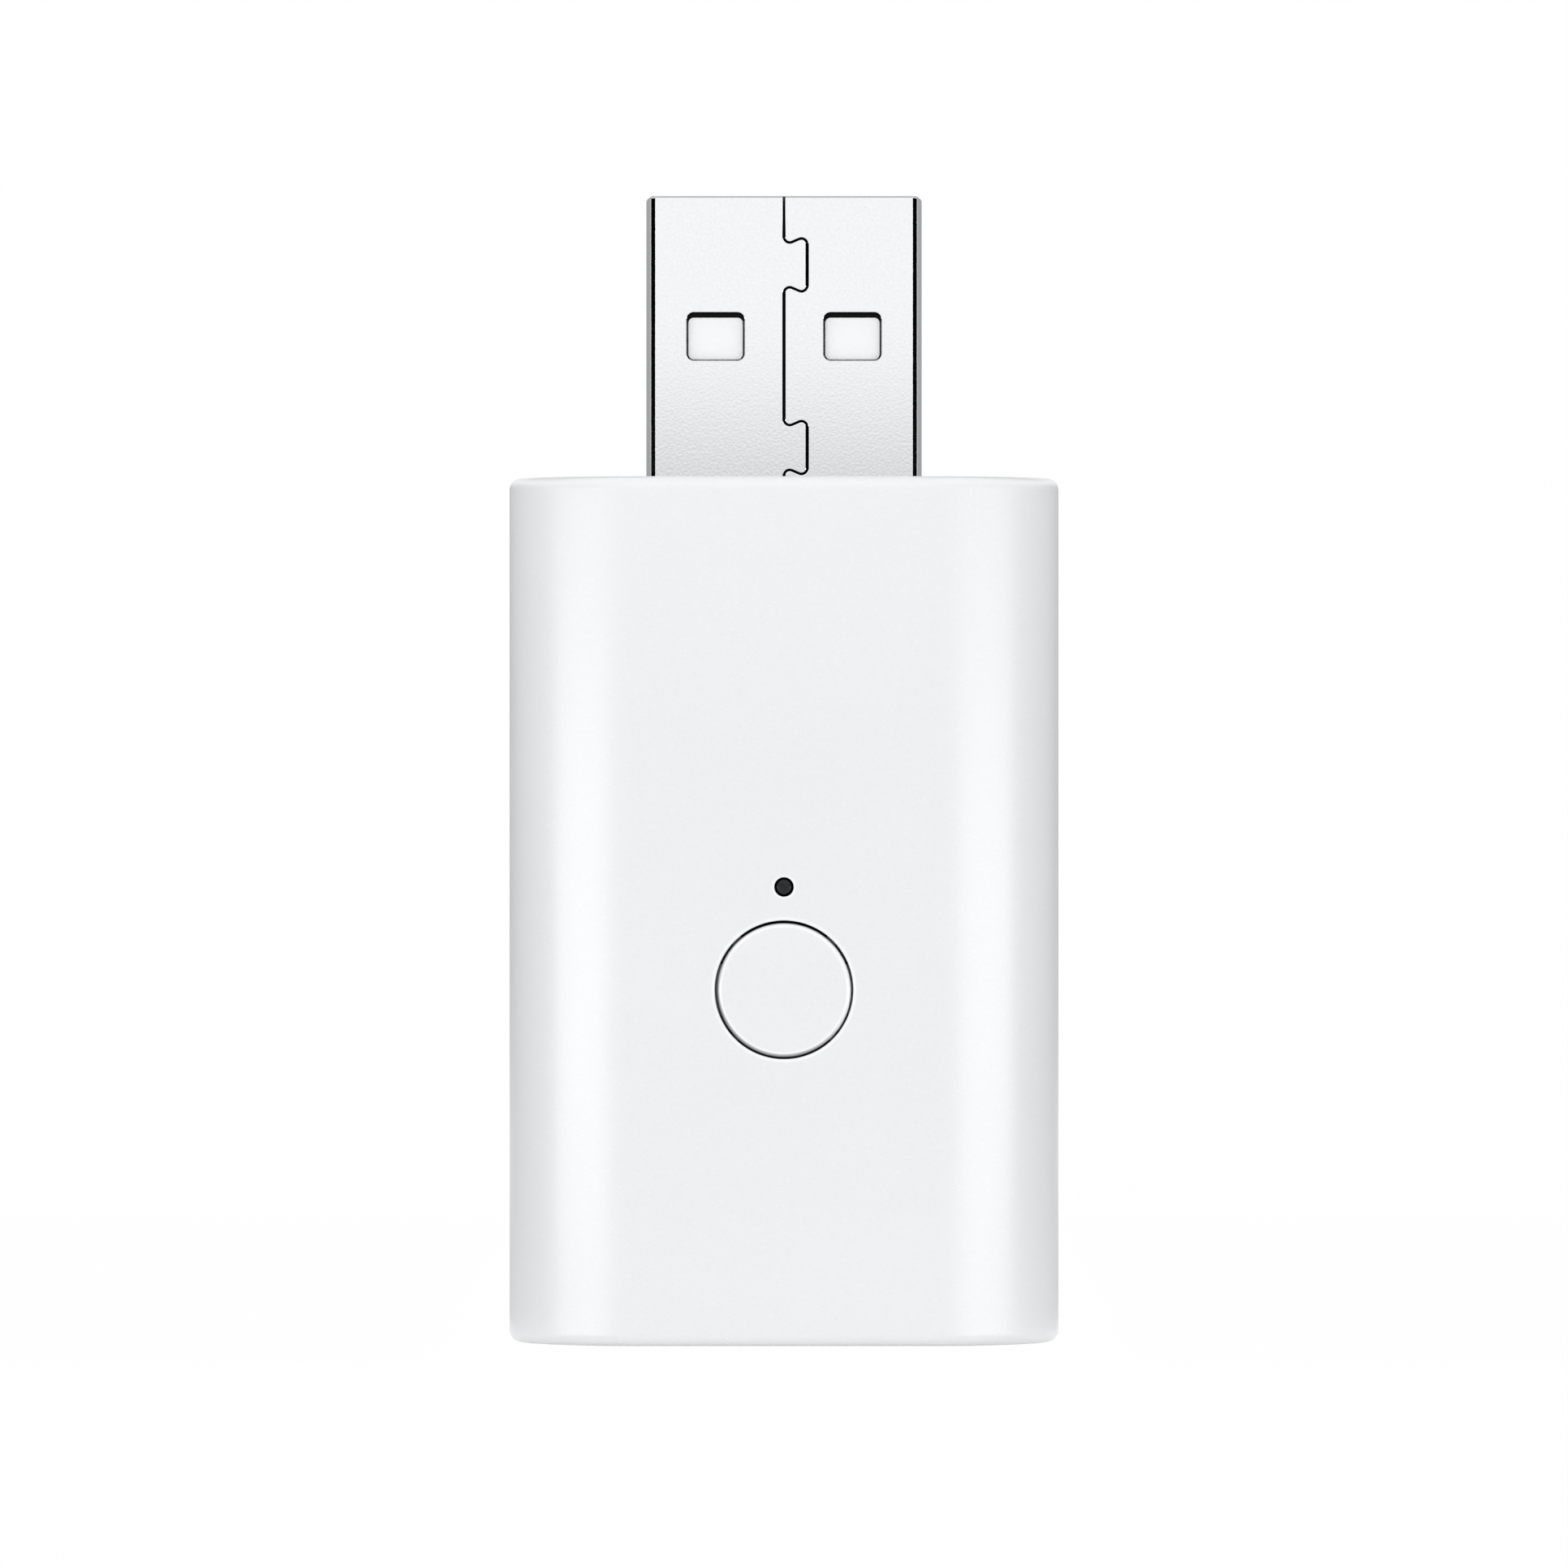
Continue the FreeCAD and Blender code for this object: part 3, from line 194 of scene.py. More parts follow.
sky = bpy.data.worlds.new("studio")
scene.world = sky
sky_nodes = Nodes(sky)
rays = sky_nodes.add("ShaderNodeLightPath", output="Is Camera Ray")
tent = sky_nodes.add("ShaderNodeBackground", values={"Color": TENT_TINT, "Strength": 1.0})
backdrop = sky_nodes.add("ShaderNodeBackground", values={"Color": WHITE, "Strength": 1.0})
sky_mix = sky_nodes.add("ShaderNodeMixShader", values={0: rays, 1: tent, 2: backdrop})
sky_nodes.add("ShaderNodeOutputWorld", values={"Surface": sky_mix})

card("box_over_lens", place=(0, -150, 160), aim=(0, 0, 160), width=150, height=260, level=1.03,
     low_level=0.6, fade=(34, 51))
for side, hand in ((-1, "left"), (1, "right")):
    soft_panel(hand + "_strip", place=(side * 226, -203, 13), aim=(0, 0, 13), width=258, height=24,
               level=6.0)
    card(hand + "_flag", place=(side * 226, -203, 66), aim=(0, 0, 66), width=258, height=76, level=0.0)
    card(hand + "_edge_card", place=(side * 183, 76, 57), aim=(0, 0, 57), width=304, height=112,
         level=0.42, low_level=0.25, fade=(30, 48))
    floor_card = card(hand + "_floor_card", place=(side * 90, 60, 0.5), aim=(side * 90, 60, 0),
                      width=150, height=160, level=0.62)
    floor_card.visible_shadow = False
card("dark_room", place=(0, -510, 19), aim=(0, 0, 19), width=380, height=36, level=0.2)
roof_card = card("roof_card", place=(0, 190, 220), aim=(0, 190, 0), width=300, height=240, level=0.2)
back_card = card("back_card", place=(0, 260, 42), aim=(0, 0, 42), width=300, height=76, level=0.4)
for mirrored_card in (roof_card, back_card):
    mirrored_card.visible_diffuse = False
    mirrored_card.visible_shadow = False

table = bpy.data.materials.new("pale_table")
table_nodes = Nodes(table)
seen = table_nodes.add("ShaderNodeLightPath", output="Is Camera Ray")
mirrored = table_nodes.same(seen, "Is Glossy Ray")
through = table_nodes.same(seen, "Is Transmission Ray")
glow = table_nodes.add("ShaderNodeEmission", values={"Color": WHITE, "Strength": 1.0})
paper_grain = table_nodes.add("ShaderNodeTexNoise", values={"Scale": 900.0, "Detail": 3.0})
paper_bump = table_nodes.add("ShaderNodeBump", values={"Strength": 0.05, "Distance": 0.0001,
                                                       "Height": paper_grain})
paper = table_nodes.add("ShaderNodeBsdfDiffuse", values={"Color": PAPER, "Normal": paper_bump})
share = seen.math("MAXIMUM", seen.math("MAXIMUM", seen, mirrored), through) * PAPER_GLOW
table_mix = table_nodes.add("ShaderNodeMixShader", values={0: share, 1: paper, 2: glow})
table_nodes.add("ShaderNodeOutputMaterial", values={"Surface": table_mix})

sweep_points = [(-TABLE_REACH, 0.0), (SWEEP_START, 0.0)]
for step in range(1, SWEEP_STEPS + 1):
    bend = step / SWEEP_STEPS * math.pi / 2
    sweep_points.append((SWEEP_START + SWEEP_BEND * math.sin(bend), SWEEP_BEND * (1 - math.cos(bend))))
sweep_points.append((SWEEP_START + SWEEP_BEND, TABLE_REACH))
sweep = bmesh.new()
rows = [[sweep.verts.new((x * MM, y * MM, z * MM)) for x in (-TABLE_REACH, TABLE_REACH)]
        for y, z in sweep_points]
for near, far in zip(rows, rows[1:]):
    sweep.faces.new((near[0], near[1], far[1], far[0]))
sweep_mesh = bpy.data.meshes.new("table")
sweep.to_mesh(sweep_mesh)
sweep.free()
table_top = bpy.data.objects.new("table", sweep_mesh)
table_top.data.materials.append(table)
scene.collection.objects.link(table_top)


# Housing
# Two white moulded shells, split halfway along the rounded sides, with a satin texture from the tool.
# Lip and snap beads hold them together, so the only line that shows is the fine parting groove.

BODY_WIDTH = 24.0
BODY_DEPTH = 10.0
BODY_HEIGHT = 37.7
FRONT_FACE = -BODY_DEPTH / 2
SIDE_REACH = 5.6
SIDE_STEPS = 18
SHOULDER_TURN = math.radians(46.4)
SHOULDER_STEPS = 20
END_ROUND = 0.5
END_STEPS = 8
GROOVE = 0.06
WALL = 1.4
BUTTON_HEIGHT = 15.45
BUTTON_HOLE = 6.0
BUTTON_RIM = 0.09
BUTTON_POINTS = 128
LIGHT_HEIGHT = 19.9
LIGHT_HOLE = 0.84
LIGHT_RIM = 0.05
LIGHT_POINTS = 48
RIM_STEPS = 4
PLUG_OPENING = (12.1, 4.6, 0.55)
OPENING_STEPS = 8
SHARP_ANGLE = math.radians(32)

HOUSING_COLOUR = (0.92, 0.925, 0.935)
EVEN_SHADE = 0.945
CLOUD_SHARE = 0.03
SKIN_SHARE = 0.06
# Painted glints, painted shade in gaps and holes, and painted highlights on the rims beside them.
GLINT_SIZES = (0.08, 0.22)
GAP_SHADE = 0.99
PAINTED_HIGHLIGHT_SHARE = 0.11
BUTTON_SHADE_REACH = 3.15
BUTTON_HIGHLIGHT_REACH = 3.1
LIGHT_SHADE_REACH = 0.6
LIGHT_HIGHLIGHT_REACH = 0.48
HIGHLIGHT_FADE = 0.09
SHADE_DEPTHS = (0.08, 0.16)
SHADE_BEHIND_WALL = 0.1
HIGHLIGHT_DEPTHS = (0.01, 0.1)


def tinted(nodes, shade, colour):
    """The colour, made darker or lighter by the shade."""
    red, green, blue = (shade * part for part in colour)
    return nodes.add("ShaderNodeCombineColor", values={"Red": red, "Green": green, "Blue": blue})


def plastic(name, colour, rough, grain, bump, edges=None, coat=0.0, painted_glints=0.0):
    """A moulded finish: faint cloudiness, the fine texture that the tool leaves, and bright specks,
    which are painted glints of the skin. edges(nodes, place) gives two masks: painted shade deep in a
    narrow gap, and a painted highlight on the lip beside it."""
    finish = bpy.data.materials.new(name)
    nodes = Nodes(finish)
    place = nodes.add("ShaderNodeTexCoord", output="Object")
    cloud = nodes.add("ShaderNodeTexNoise", values={"Vector": place, "Scale": 120.0, "Detail": 2.0})
    skin = nodes.add("ShaderNodeTexNoise", values={"Vector": place, "Scale": 1.0 / (grain * MM),
                                                   "Detail": 2.5, "Roughness": 0.6})
    pits = nodes.add("ShaderNodeTexVoronoi", {"feature": "SMOOTH_F1"},
                     {"Vector": place, "Scale": 0.6 / (grain * MM), "Smoothness": 0.7})
    shade = EVEN_SHADE + cloud * CLOUD_SHARE + skin * SKIN_SHARE
    # Painted glints: bright specks added to the colour.
    if painted_glints:
        slanted = nodes.add("ShaderNodeMapping", values={"Vector": place, "Rotation": (0.0, 0.6, 0.0),
                                                         "Scale": (1.0, 1.0, 1.8)})
        glint_distance = nodes.add("ShaderNodeTexVoronoi", {"feature": "F1"},
                          {"Vector": slanted, "Scale": 0.45 / (grain * MM)})
        shade = shade + (1 - glint_distance.smooth_step(*GLINT_SIZES)) * painted_glints
    # Painted shade in narrow gaps, made metallic and uncoated to give back no light; painted lip
    # highlight.
    painted_gap_shade = 0.0
    if edges:
        painted_gap_shade, painted_lip_highlight = edges(nodes, place)
        shade = (shade + painted_lip_highlight * PAINTED_HIGHLIGHT_SHARE) * (1 - painted_gap_shade * GAP_SHADE)
        coat = (1 - painted_gap_shade) * coat
    relief = nodes.add("ShaderNodeBump", values={"Strength": bump, "Distance": 0.004 * MM,
                                                 "Height": skin + pits * 0.6})
    surface = nodes.add("ShaderNodeBsdfPrincipled", values={
        "Base Color": tinted(nodes, shade, colour), "Metallic": painted_gap_shade,
        "Roughness": rough + (skin - 0.5) * 0.12, "Normal": relief, "IOR": 1.5,
        "Coat Weight": coat, "Coat Roughness": 0.3, "Coat IOR": 1.8})
    nodes.add("ShaderNodeOutputMaterial", values={"Surface": surface})
    return finish


def half_outline(inset):
    """Front half of the flat oval, from the left side over the front to the right side."""
    half_width = BODY_WIDTH / 2
    half_flat = half_width - SIDE_REACH
    half_depth = BODY_DEPTH / 2
    sine = math.sin(SHOULDER_TURN)
    cosine = math.cos(SHOULDER_TURN)
    shared = 1 - sine - cosine
    shoulder = ((1 - sine) * half_depth - cosine * SIDE_REACH) / shared
    side = ((1 - cosine) * SIDE_REACH - sine * half_depth) / shared
    reach = half_width - inset
    quarter = [(reach - GROOVE, 0.0, (1.0, 0.0)), (reach, -GROOVE, (1.0, 0.0))]
    for step in range(1, SIDE_STEPS + 1):
        turn = step / SIDE_STEPS * (math.pi / 2 - SHOULDER_TURN)
        outward = (math.cos(turn), -math.sin(turn))
        quarter.append((half_width - side + (side - inset) * outward[0],
                        (side - inset) * outward[1], outward))
    for step in range(1, SHOULDER_STEPS + 1):
        turn = math.pi / 2 - SHOULDER_TURN + step / SHOULDER_STEPS * SHOULDER_TURN
        outward = (math.cos(turn), -math.sin(turn))
        quarter.append((half_flat + (shoulder - inset) * outward[0],
                        shoulder - half_depth + (shoulder - inset) * outward[1], outward))
    left = [(-x, y, (-out[0], out[1])) for x, y, out in quarter]
    middle = [(0.0, inset - half_depth, (0.0, -1.0))]
    return left + middle + quarter[::-1]


def number_input(group, name, kind, start):
    """Adds a number to a node group's inputs and gives the identifier that a modifier sets it by."""
    socket = group.interface.new_socket(name=name, in_out="INPUT", socket_type=kind)
    socket.default_value = start
    return socket.identifier


def skin_rule():
    """The rule of the housing's skin: the outline is laid row over row from end to end, drawn in at
    both ends by a quarter round."""
    group = bpy.data.node_groups.new("oval skin", "GeometryNodeTree")
    group.interface.new_socket(name="Outline", in_out="INPUT", socket_type="NodeSocketGeometry")
    names = {
        "Points": number_input(group, "Points", "NodeSocketInt", 4),
        "Steps": number_input(group, "Steps", "NodeSocketInt", 8),
        "Height": number_input(group, "Height", "NodeSocketFloat", 1.0),
        "End round": number_input(group, "End round", "NodeSocketFloat", 0.1),
    }
    group.interface.new_socket(name="Finish", in_out="INPUT", socket_type="NodeSocketMaterial")
    group.interface.new_socket(name="Skin", in_out="OUTPUT", socket_type="NodeSocketGeometry")
    maker = Nodes(group)
    given = maker.add("NodeGroupInput")
    points = maker.same(given, "Points")
    steps = maker.same(given, "Steps")
    height = maker.same(given, "Height")
    round_end = maker.same(given, "End round")
    row_count = steps * 2 + 2
    grid = maker.add("GeometryNodeMeshGrid", values={"Vertices X": row_count, "Vertices Y": points})
    index = maker.add("GeometryNodeInputIndex")
    along = index.math("MODULO", index, points)
    passed = index / points
    row = passed.math("FLOOR", passed)
    from_end = row.math("MINIMUM", row, row_count - 1 - row)
    bend = from_end / steps * (math.pi / 2)
    inset = round_end * (1 - bend.math("SINE", bend))
    drop = round_end * (1 - bend.math("COSINE", bend))
    upper = row > steps + 0.5
    level = drop * (1 - upper * 2) + height * upper
    outline = maker.same(given, "Outline")
    place = maker.add("GeometryNodeInputPosition")
    spot = maker.add("GeometryNodeSampleIndex", {"data_type": "FLOAT_VECTOR"},
                     {"Geometry": outline, "Value": place, "Index": along})
    outward = maker.add("GeometryNodeInputNamedAttribute", {"data_type": "FLOAT_VECTOR"},
                        {"Name": "outward"})
    lean = maker.add("GeometryNodeSampleIndex", {"data_type": "FLOAT_VECTOR"},
                     {"Geometry": outline, "Value": outward, "Index": along})
    drawn = maker.add("ShaderNodeVectorMath", {"operation": "SCALE"}, {"Vector": lean, "Scale": inset})
    sunk = maker.add("ShaderNodeVectorMath", {"operation": "SUBTRACT"}, {0: spot, 1: drawn})
    lift = maker.add("ShaderNodeCombineXYZ", values={"Z": level})
    raised = maker.add("ShaderNodeVectorMath", {"operation": "ADD"}, {0: sunk, 1: lift})
    laid = maker.add("GeometryNodeSetPosition", values={"Geometry": grid, "Position": raised})
    real = maker.add("GeometryNodeRealizeInstances", values={"Geometry": laid})
    done = maker.add("GeometryNodeSetMaterial", values={"Geometry": real,
                                                        "Material": maker.same(given, "Finish")})
    maker.add("NodeGroupOutput", values={"Skin": done})
    return group, names


def finished(name, mesh, material, body, *nodes):
    """Puts a piece in the scene with even shading, on its body and in place of its solids."""
    mesh.name = name
    piece = bpy.data.objects.new(name, mesh)
    scene.collection.objects.link(piece)
    mesh.materials.append(material)
    mesh.shade_smooth()
    mesh.set_sharp_from_angle(angle=SHARP_ANGLE)
    even = piece.modifiers.new("even shading", "WEIGHTED_NORMAL")
    even.keep_sharp = True
    even.weight = 80
    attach(piece, body)
    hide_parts(*nodes)
    return piece


def ring(bm, height, radius, level, count):
    """A ring of points about the line that runs straight back at a height, in the plane y = level."""
    turns = [2 * math.pi * i / count for i in range(count)]
    return [bm.verts.new((radius * math.cos(turn), level, height + radius * math.sin(turn)))
            for turn in turns]


def sides(loop):
    """The two ways round a ring, from its lowest point to its highest."""
    count = len(loop)
    low, high = count * 3 // 4, count // 4
    onward = [loop[(low + i) % count] for i in range((high - low) % count + 1)]
    back = [loop[(low - i) % count] for i in range((low - high) % count + 1)]
    return onward, back


def split_fill(bm, right_border, left_border, *holes):
    """Fills a flat face with holes as two faces that meet on the line through the holes' middles.
    Borders and holes are given from low to high, the holes lowest first."""
    for border, way in ((right_border, 0), (left_border, 1)):
        around = list(border)
        for hole in reversed(holes):
            around += hole[way][::-1]
        bm.faces.new(around)


def strip(bm, first, second, closed=False):
    """Quads between two rows of points."""
    pairs = list(zip(first, second))
    if closed:
        pairs.append(pairs[0])
    for (a, b), (c, d) in zip(pairs, pairs[1:]):
        bm.faces.new((a, c, d, b))


oval_group, oval_inputs = skin_rule()
outline_points = half_outline(0.0)
outline_mesh = bpy.data.meshes.new("outline")
outline_mesh.from_pydata([(x * MM, y * MM, 0) for x, y, _ in outline_points], [], [])
lean_layer = outline_mesh.attributes.new("outward", "FLOAT_VECTOR", "POINT")
for item, (_, _, out) in zip(lean_layer.data, outline_points):
    item.vector = (out[0], out[1], 0.0)
outline_piece = bpy.data.objects.new("outline", outline_mesh)
scene.collection.objects.link(outline_piece)
ruled = outline_piece.modifiers.new("oval skin", "NODES")
ruled.node_group = oval_group
ruled[oval_inputs["Points"]] = len(outline_points)
ruled[oval_inputs["Steps"]] = END_STEPS
ruled[oval_inputs["Height"]] = BODY_HEIGHT * MM
ruled[oval_inputs["End round"]] = END_ROUND * MM
depsgraph = bpy.context.evaluated_depsgraph_get()
skin_mesh = bpy.data.meshes.new_from_object(outline_piece.evaluated_get(depsgraph))
bpy.data.objects.remove(outline_piece)


def opening_half(level):
    """Front half of the plug opening at a height, from left to right."""
    width, depth, corner = PLUG_OPENING
    quarter = [(width / 2, 0.0)]
    for step in range(OPENING_STEPS + 1):
        turn = step / OPENING_STEPS * math.pi / 2
        quarter.append((width / 2 - corner * (1 - math.cos(turn)),
                        corner * (1 - math.sin(turn)) - depth / 2))
    left = [(-x, y) for x, y in quarter]
    return [(x, y, level) for x, y in left + quarter[::-1]]


def half_shell(holes):
    """One moulded half as a closed body: ruled skin outside, wall inside, flat parting face."""
    bm = bmesh.new()
    bm.from_mesh(skin_mesh)
    bmesh.ops.scale(bm, vec=(1 / MM, 1 / MM, 1 / MM), verts=bm.verts)
    bm.verts.ensure_lookup_table()
    count = len(outline_points)
    row_count = 2 * END_STEPS + 2
    skin = [[bm.verts[row * count + i] for i in range(count)] for row in range(row_count)]
    centre = count // 2
    low_row, high_row = skin[END_STEPS], skin[END_STEPS + 1]
    flat_corners = set(low_row[centre - 1:centre + 2] + high_row[centre - 1:centre + 2])
    flat = [face for face in bm.faces if flat_corners.issuperset(face.verts)]
    bmesh.ops.delete(bm, geom=flat, context="FACES_ONLY")
    inner_outline = half_outline(WALL)
    inner_low = [bm.verts.new((x, y, WALL)) for x, y, _ in inner_outline]
    inner_high = [bm.verts.new((x, y, BODY_HEIGHT - WALL)) for x, y, _ in inner_outline]
    for i in range(count - 1):
        if i not in (centre - 1, centre):
            bm.faces.new((inner_low[i], inner_low[i + 1], inner_high[i + 1], inner_high[i]))
    outer_holes, inner_holes = [], []
    for height, width, rounding, ring_points in holes:
        rings = []
        for step in range(RIM_STEPS + 1):
            turn = step / RIM_STEPS * math.pi / 2
            rings.append(ring(bm, height, width / 2 + rounding * (1 - math.sin(turn)),
                              FRONT_FACE + rounding * (1 - math.cos(turn)), ring_points))
        rings.append(ring(bm, height, width / 2, FRONT_FACE + WALL, ring_points))
        for outer, inner in zip(rings, rings[1:]):
            strip(bm, outer, inner, closed=True)
        outer_holes.append(sides(rings[0]))
        inner_holes.append(sides(rings[-1]))
    for low, high, found in ((low_row, high_row, outer_holes), (inner_low, inner_high, inner_holes)):
        split_fill(bm, [low[centre], low[centre + 1], high[centre + 1], high[centre]],
                   [low[centre], low[centre - 1], high[centre - 1], high[centre]], *found)
    bm.faces.new(skin[0])
    bm.faces.new(inner_low)
    gate_high = [bm.verts.new(point) for point in opening_half(BODY_HEIGHT)]
    gate_low = [bm.verts.new(point) for point in opening_half(BODY_HEIGHT - WALL)]
    strip(bm, gate_high, gate_low)
    bm.faces.new(skin[-1] + gate_high[::-1])
    bm.faces.new(inner_high + gate_low[::-1])
    left_side = [row[0] for row in skin]
    right_side = [row[-1] for row in skin]
    bm.faces.new(left_side + [gate_high[0], gate_low[0], inner_high[0], inner_low[0], inner_low[-1],
                              inner_high[-1], gate_low[-1], gate_high[-1]] + right_side[::-1])
    left_over = [edge for edge in bm.edges if not edge.link_faces]
    bmesh.ops.delete(bm, geom=left_over, context="EDGES")
    bmesh.ops.recalc_face_normals(bm, faces=bm.faces)
    return bm


def to_mesh(bm):
    """A finished body in metres."""
    mesh = bpy.data.meshes.new("body")
    bmesh.ops.scale(bm, vec=(MM, MM, MM), verts=bm.verts)
    bm.to_mesh(mesh)
    bm.free()
    return mesh


def rise(coordinate, span, origin=0.0):
    """A soft rise from 0 to 1 over a span of a coordinate, counted in millimetres from the origin."""
    start, end = span
    return coordinate.smooth_step((origin + start) * MM, (origin + end) * MM)


def from_axis(nodes, x, z, height):
    """Distance from the line that runs straight back at a height."""
    flat = nodes.add("ShaderNodeCombineXYZ", values={"X": x, "Z": z})
    return nodes.add("ShaderNodeVectorMath", {"operation": "DISTANCE"},
                     {0: flat, 1: (0.0, 0.0, height * MM)}, "Value")


def hole_painted_shade_and_highlight(nodes, place):
    """Painted shade on the walls of the button hole and the light hole, behind their rounded rims,
    and a painted highlight on the rims.
    """
    x, y, z = split(nodes, place)
    near, painted_rim_highlights = [], []
    for height, shade_reach, highlight_reach in ((BUTTON_HEIGHT, BUTTON_SHADE_REACH, BUTTON_HIGHLIGHT_REACH),
                                           (LIGHT_HEIGHT, LIGHT_SHADE_REACH, LIGHT_HIGHLIGHT_REACH)):
        far = from_axis(nodes, x, z, height)
        near.append(1 - (far > shade_reach * MM))
        painted_rim_highlights.append(1 - rise(far, (0.0, HIGHLIGHT_FADE), highlight_reach))
    behind_wall = y > (FRONT_FACE + WALL + SHADE_BEHIND_WALL) * MM
    in_hole = rise(y, SHADE_DEPTHS, FRONT_FACE) - behind_wall
    at_front = 1 - rise(y, HIGHLIGHT_DEPTHS, FRONT_FACE)
    return in_hole * (near[0] + near[1]), at_front * (painted_rim_highlights[0] + painted_rim_highlights[1])


housing_white = plastic("housing_white", HOUSING_COLOUR, rough=0.4, grain=0.11, bump=0.35,
                        edges=hole_painted_shade_and_highlight, coat=1.0, painted_glints=0.09)

front_body = half_shell([(BUTTON_HEIGHT, BUTTON_HOLE, BUTTON_RIM, BUTTON_POINTS),
                         (LIGHT_HEIGHT, LIGHT_HOLE, LIGHT_RIM, LIGHT_POINTS)])
front_piece = finished("front_half", to_mesh(front_body), housing_white, "housing", "front_shell")

rear_body = half_shell([])
bmesh.ops.scale(rear_body, vec=(1, -1, 1), verts=rear_body.verts)
bmesh.ops.recalc_face_normals(rear_body, faces=rear_body.faces)
rear_piece = finished("rear_half", to_mesh(rear_body), housing_white, "housing", "rear_shell")


# Push button
# A round cap of the same white plastic, flush with the front and loose in its hole by a tenth of a
# millimetre. Two ears behind the wall keep it in, and a short pin reaches the switch.

CAP_RADIUS = 2.91
CAP_ROUND = 0.22
CAP_ROUND_STEPS = 6
CAP_SAG = 0.025
EAR_FRONT = -3.55
EAR_BACK = -2.95
EAR_START = 2.6
EAR_TIP = 3.66
EAR_HALF_WIDTH = 1.1
PIN_BACK = -2.4
PIN_RADIUS = 0.9
CAP_SHADE = (2.76, 2.83)
CAP_SHADE_SHARE = 0.55
CAP_SHADE_LEAN = 0.6
CAP_SHADE_RISE = (-0.35, 0.8)
CAP_HIGHLIGHT = (2.66, 2.74)


def turned(profile, height, count):
    """A closed body turned from (radius, y) points about the line straight back at a height."""
    bm = bmesh.new()
    rows = []
    for radius, level in profile:
        if radius == 0:
            rows.append([bm.verts.new((0, level, height))] * count)
        else:
            rows.append(ring(bm, height, radius, level, count))
    for near, far in zip(rows, rows[1:]):
        for i in range(count):
            j = (i + 1) % count
            corners = []
            for vert in (near[i], near[j], far[j], far[i]):
                if vert not in corners:
                    corners.append(vert)
            bm.faces.new(corners)
    bmesh.ops.recalc_face_normals(bm, faces=bm.faces)
    return bm


def quarter_round(radius, level, size, steps):
    """Profile points of a rounded rim, from the face outwards to the side."""
    turns = [step / steps * math.pi / 2 for step in range(steps + 1)]
    return [(radius - size * (1 - math.sin(turn)), level + size * (1 - math.cos(turn)))
            for turn in turns]


def block(bm, low, high):
    """A plain block between two corners."""
    size = [high[i] - low[i] for i in range(3)]
    middle = [(high[i] + low[i]) / 2 for i in range(3)]
    placed = Matrix.Translation(middle) @ Matrix.Diagonal((*size, 1))
    bmesh.ops.create_cube(bm, size=1, matrix=placed)


def cap_painted_shade_and_highlight(nodes, place):
    """Painted shade on the rim, deepest low down on the left, and a painted highlight round the rim."""
    x, _, z = split(nodes, place)
    far = from_axis(nodes, x, z, BUTTON_HEIGHT)
    down_left = (BUTTON_HEIGHT * MM - z - x * CAP_SHADE_LEAN) / (CAP_RADIUS * MM)
    low_side = down_left.smooth_step(*CAP_SHADE_RISE)
    return low_side * rise(far, CAP_SHADE) * CAP_SHADE_SHARE, rise(far, CAP_HIGHLIGHT)


cap_white = plastic("cap_white", HOUSING_COLOUR, rough=0.4, grain=0.11, bump=0.35, edges=cap_painted_shade_and_highlight,
                    coat=1.0, painted_glints=0.09)
cap_profile = [(0, FRONT_FACE)] + quarter_round(CAP_RADIUS, FRONT_FACE, CAP_ROUND, CAP_ROUND_STEPS)
cap_profile += [(CAP_RADIUS, EAR_BACK), (PIN_RADIUS, EAR_BACK), (PIN_RADIUS, PIN_BACK), (0, PIN_BACK)]
cap_body = turned(cap_profile, BUTTON_HEIGHT - CAP_SAG, BUTTON_POINTS)
for side in (-1, 1):
    near, far = sorted((side * EAR_START, side * EAR_TIP))
    block(cap_body, (near, EAR_FRONT, BUTTON_HEIGHT - EAR_HALF_WIDTH),
          (far, EAR_BACK, BUTTON_HEIGHT + EAR_HALF_WIDTH))
cap_piece = finished("push_button", to_mesh(cap_body), cap_white, "button", "button_cap")


# Status light
# The slim end of a smoked light guide, set a hair below the front face with a ring of air round it,
# dark from its depth and from painted shade. Its collar sits in a boss behind the wall, and a light
# diode on the board shines into it.

LENS_DOME = ((0, -4.94), (0.13, -4.938), (0.23, -4.93), (0.29, -4.915), (0.325, -4.88), (0.34, -4.84))
LENS_RADIUS = 0.34
LENS_TINT = (1.0, 1.0, 1.06)
LENS_SHADE_DEPTHS = (-4.87, -4.8)
STEM_FRONT = -4.4
STEM_RADIUS = 0.4
COLLAR_FRONT = -3.6
COLLAR_RADIUS = 0.75
COLLAR_BACK = -3.0
FOOT_RADIUS = 0.55
FOOT_BACK = -0.85

smoked_lens = bpy.data.materials.new("smoked_lens")
lens_nodes = Nodes(smoked_lens)
lens_place = lens_nodes.add("ShaderNodeTexCoord", output="Object")
lens_haze = lens_nodes.add("ShaderNodeTexNoise", values={"Vector": lens_place, "Scale": 5000.0,
                                                         "Detail": 2.0})
_, lens_y, _ = split(lens_nodes, lens_place)
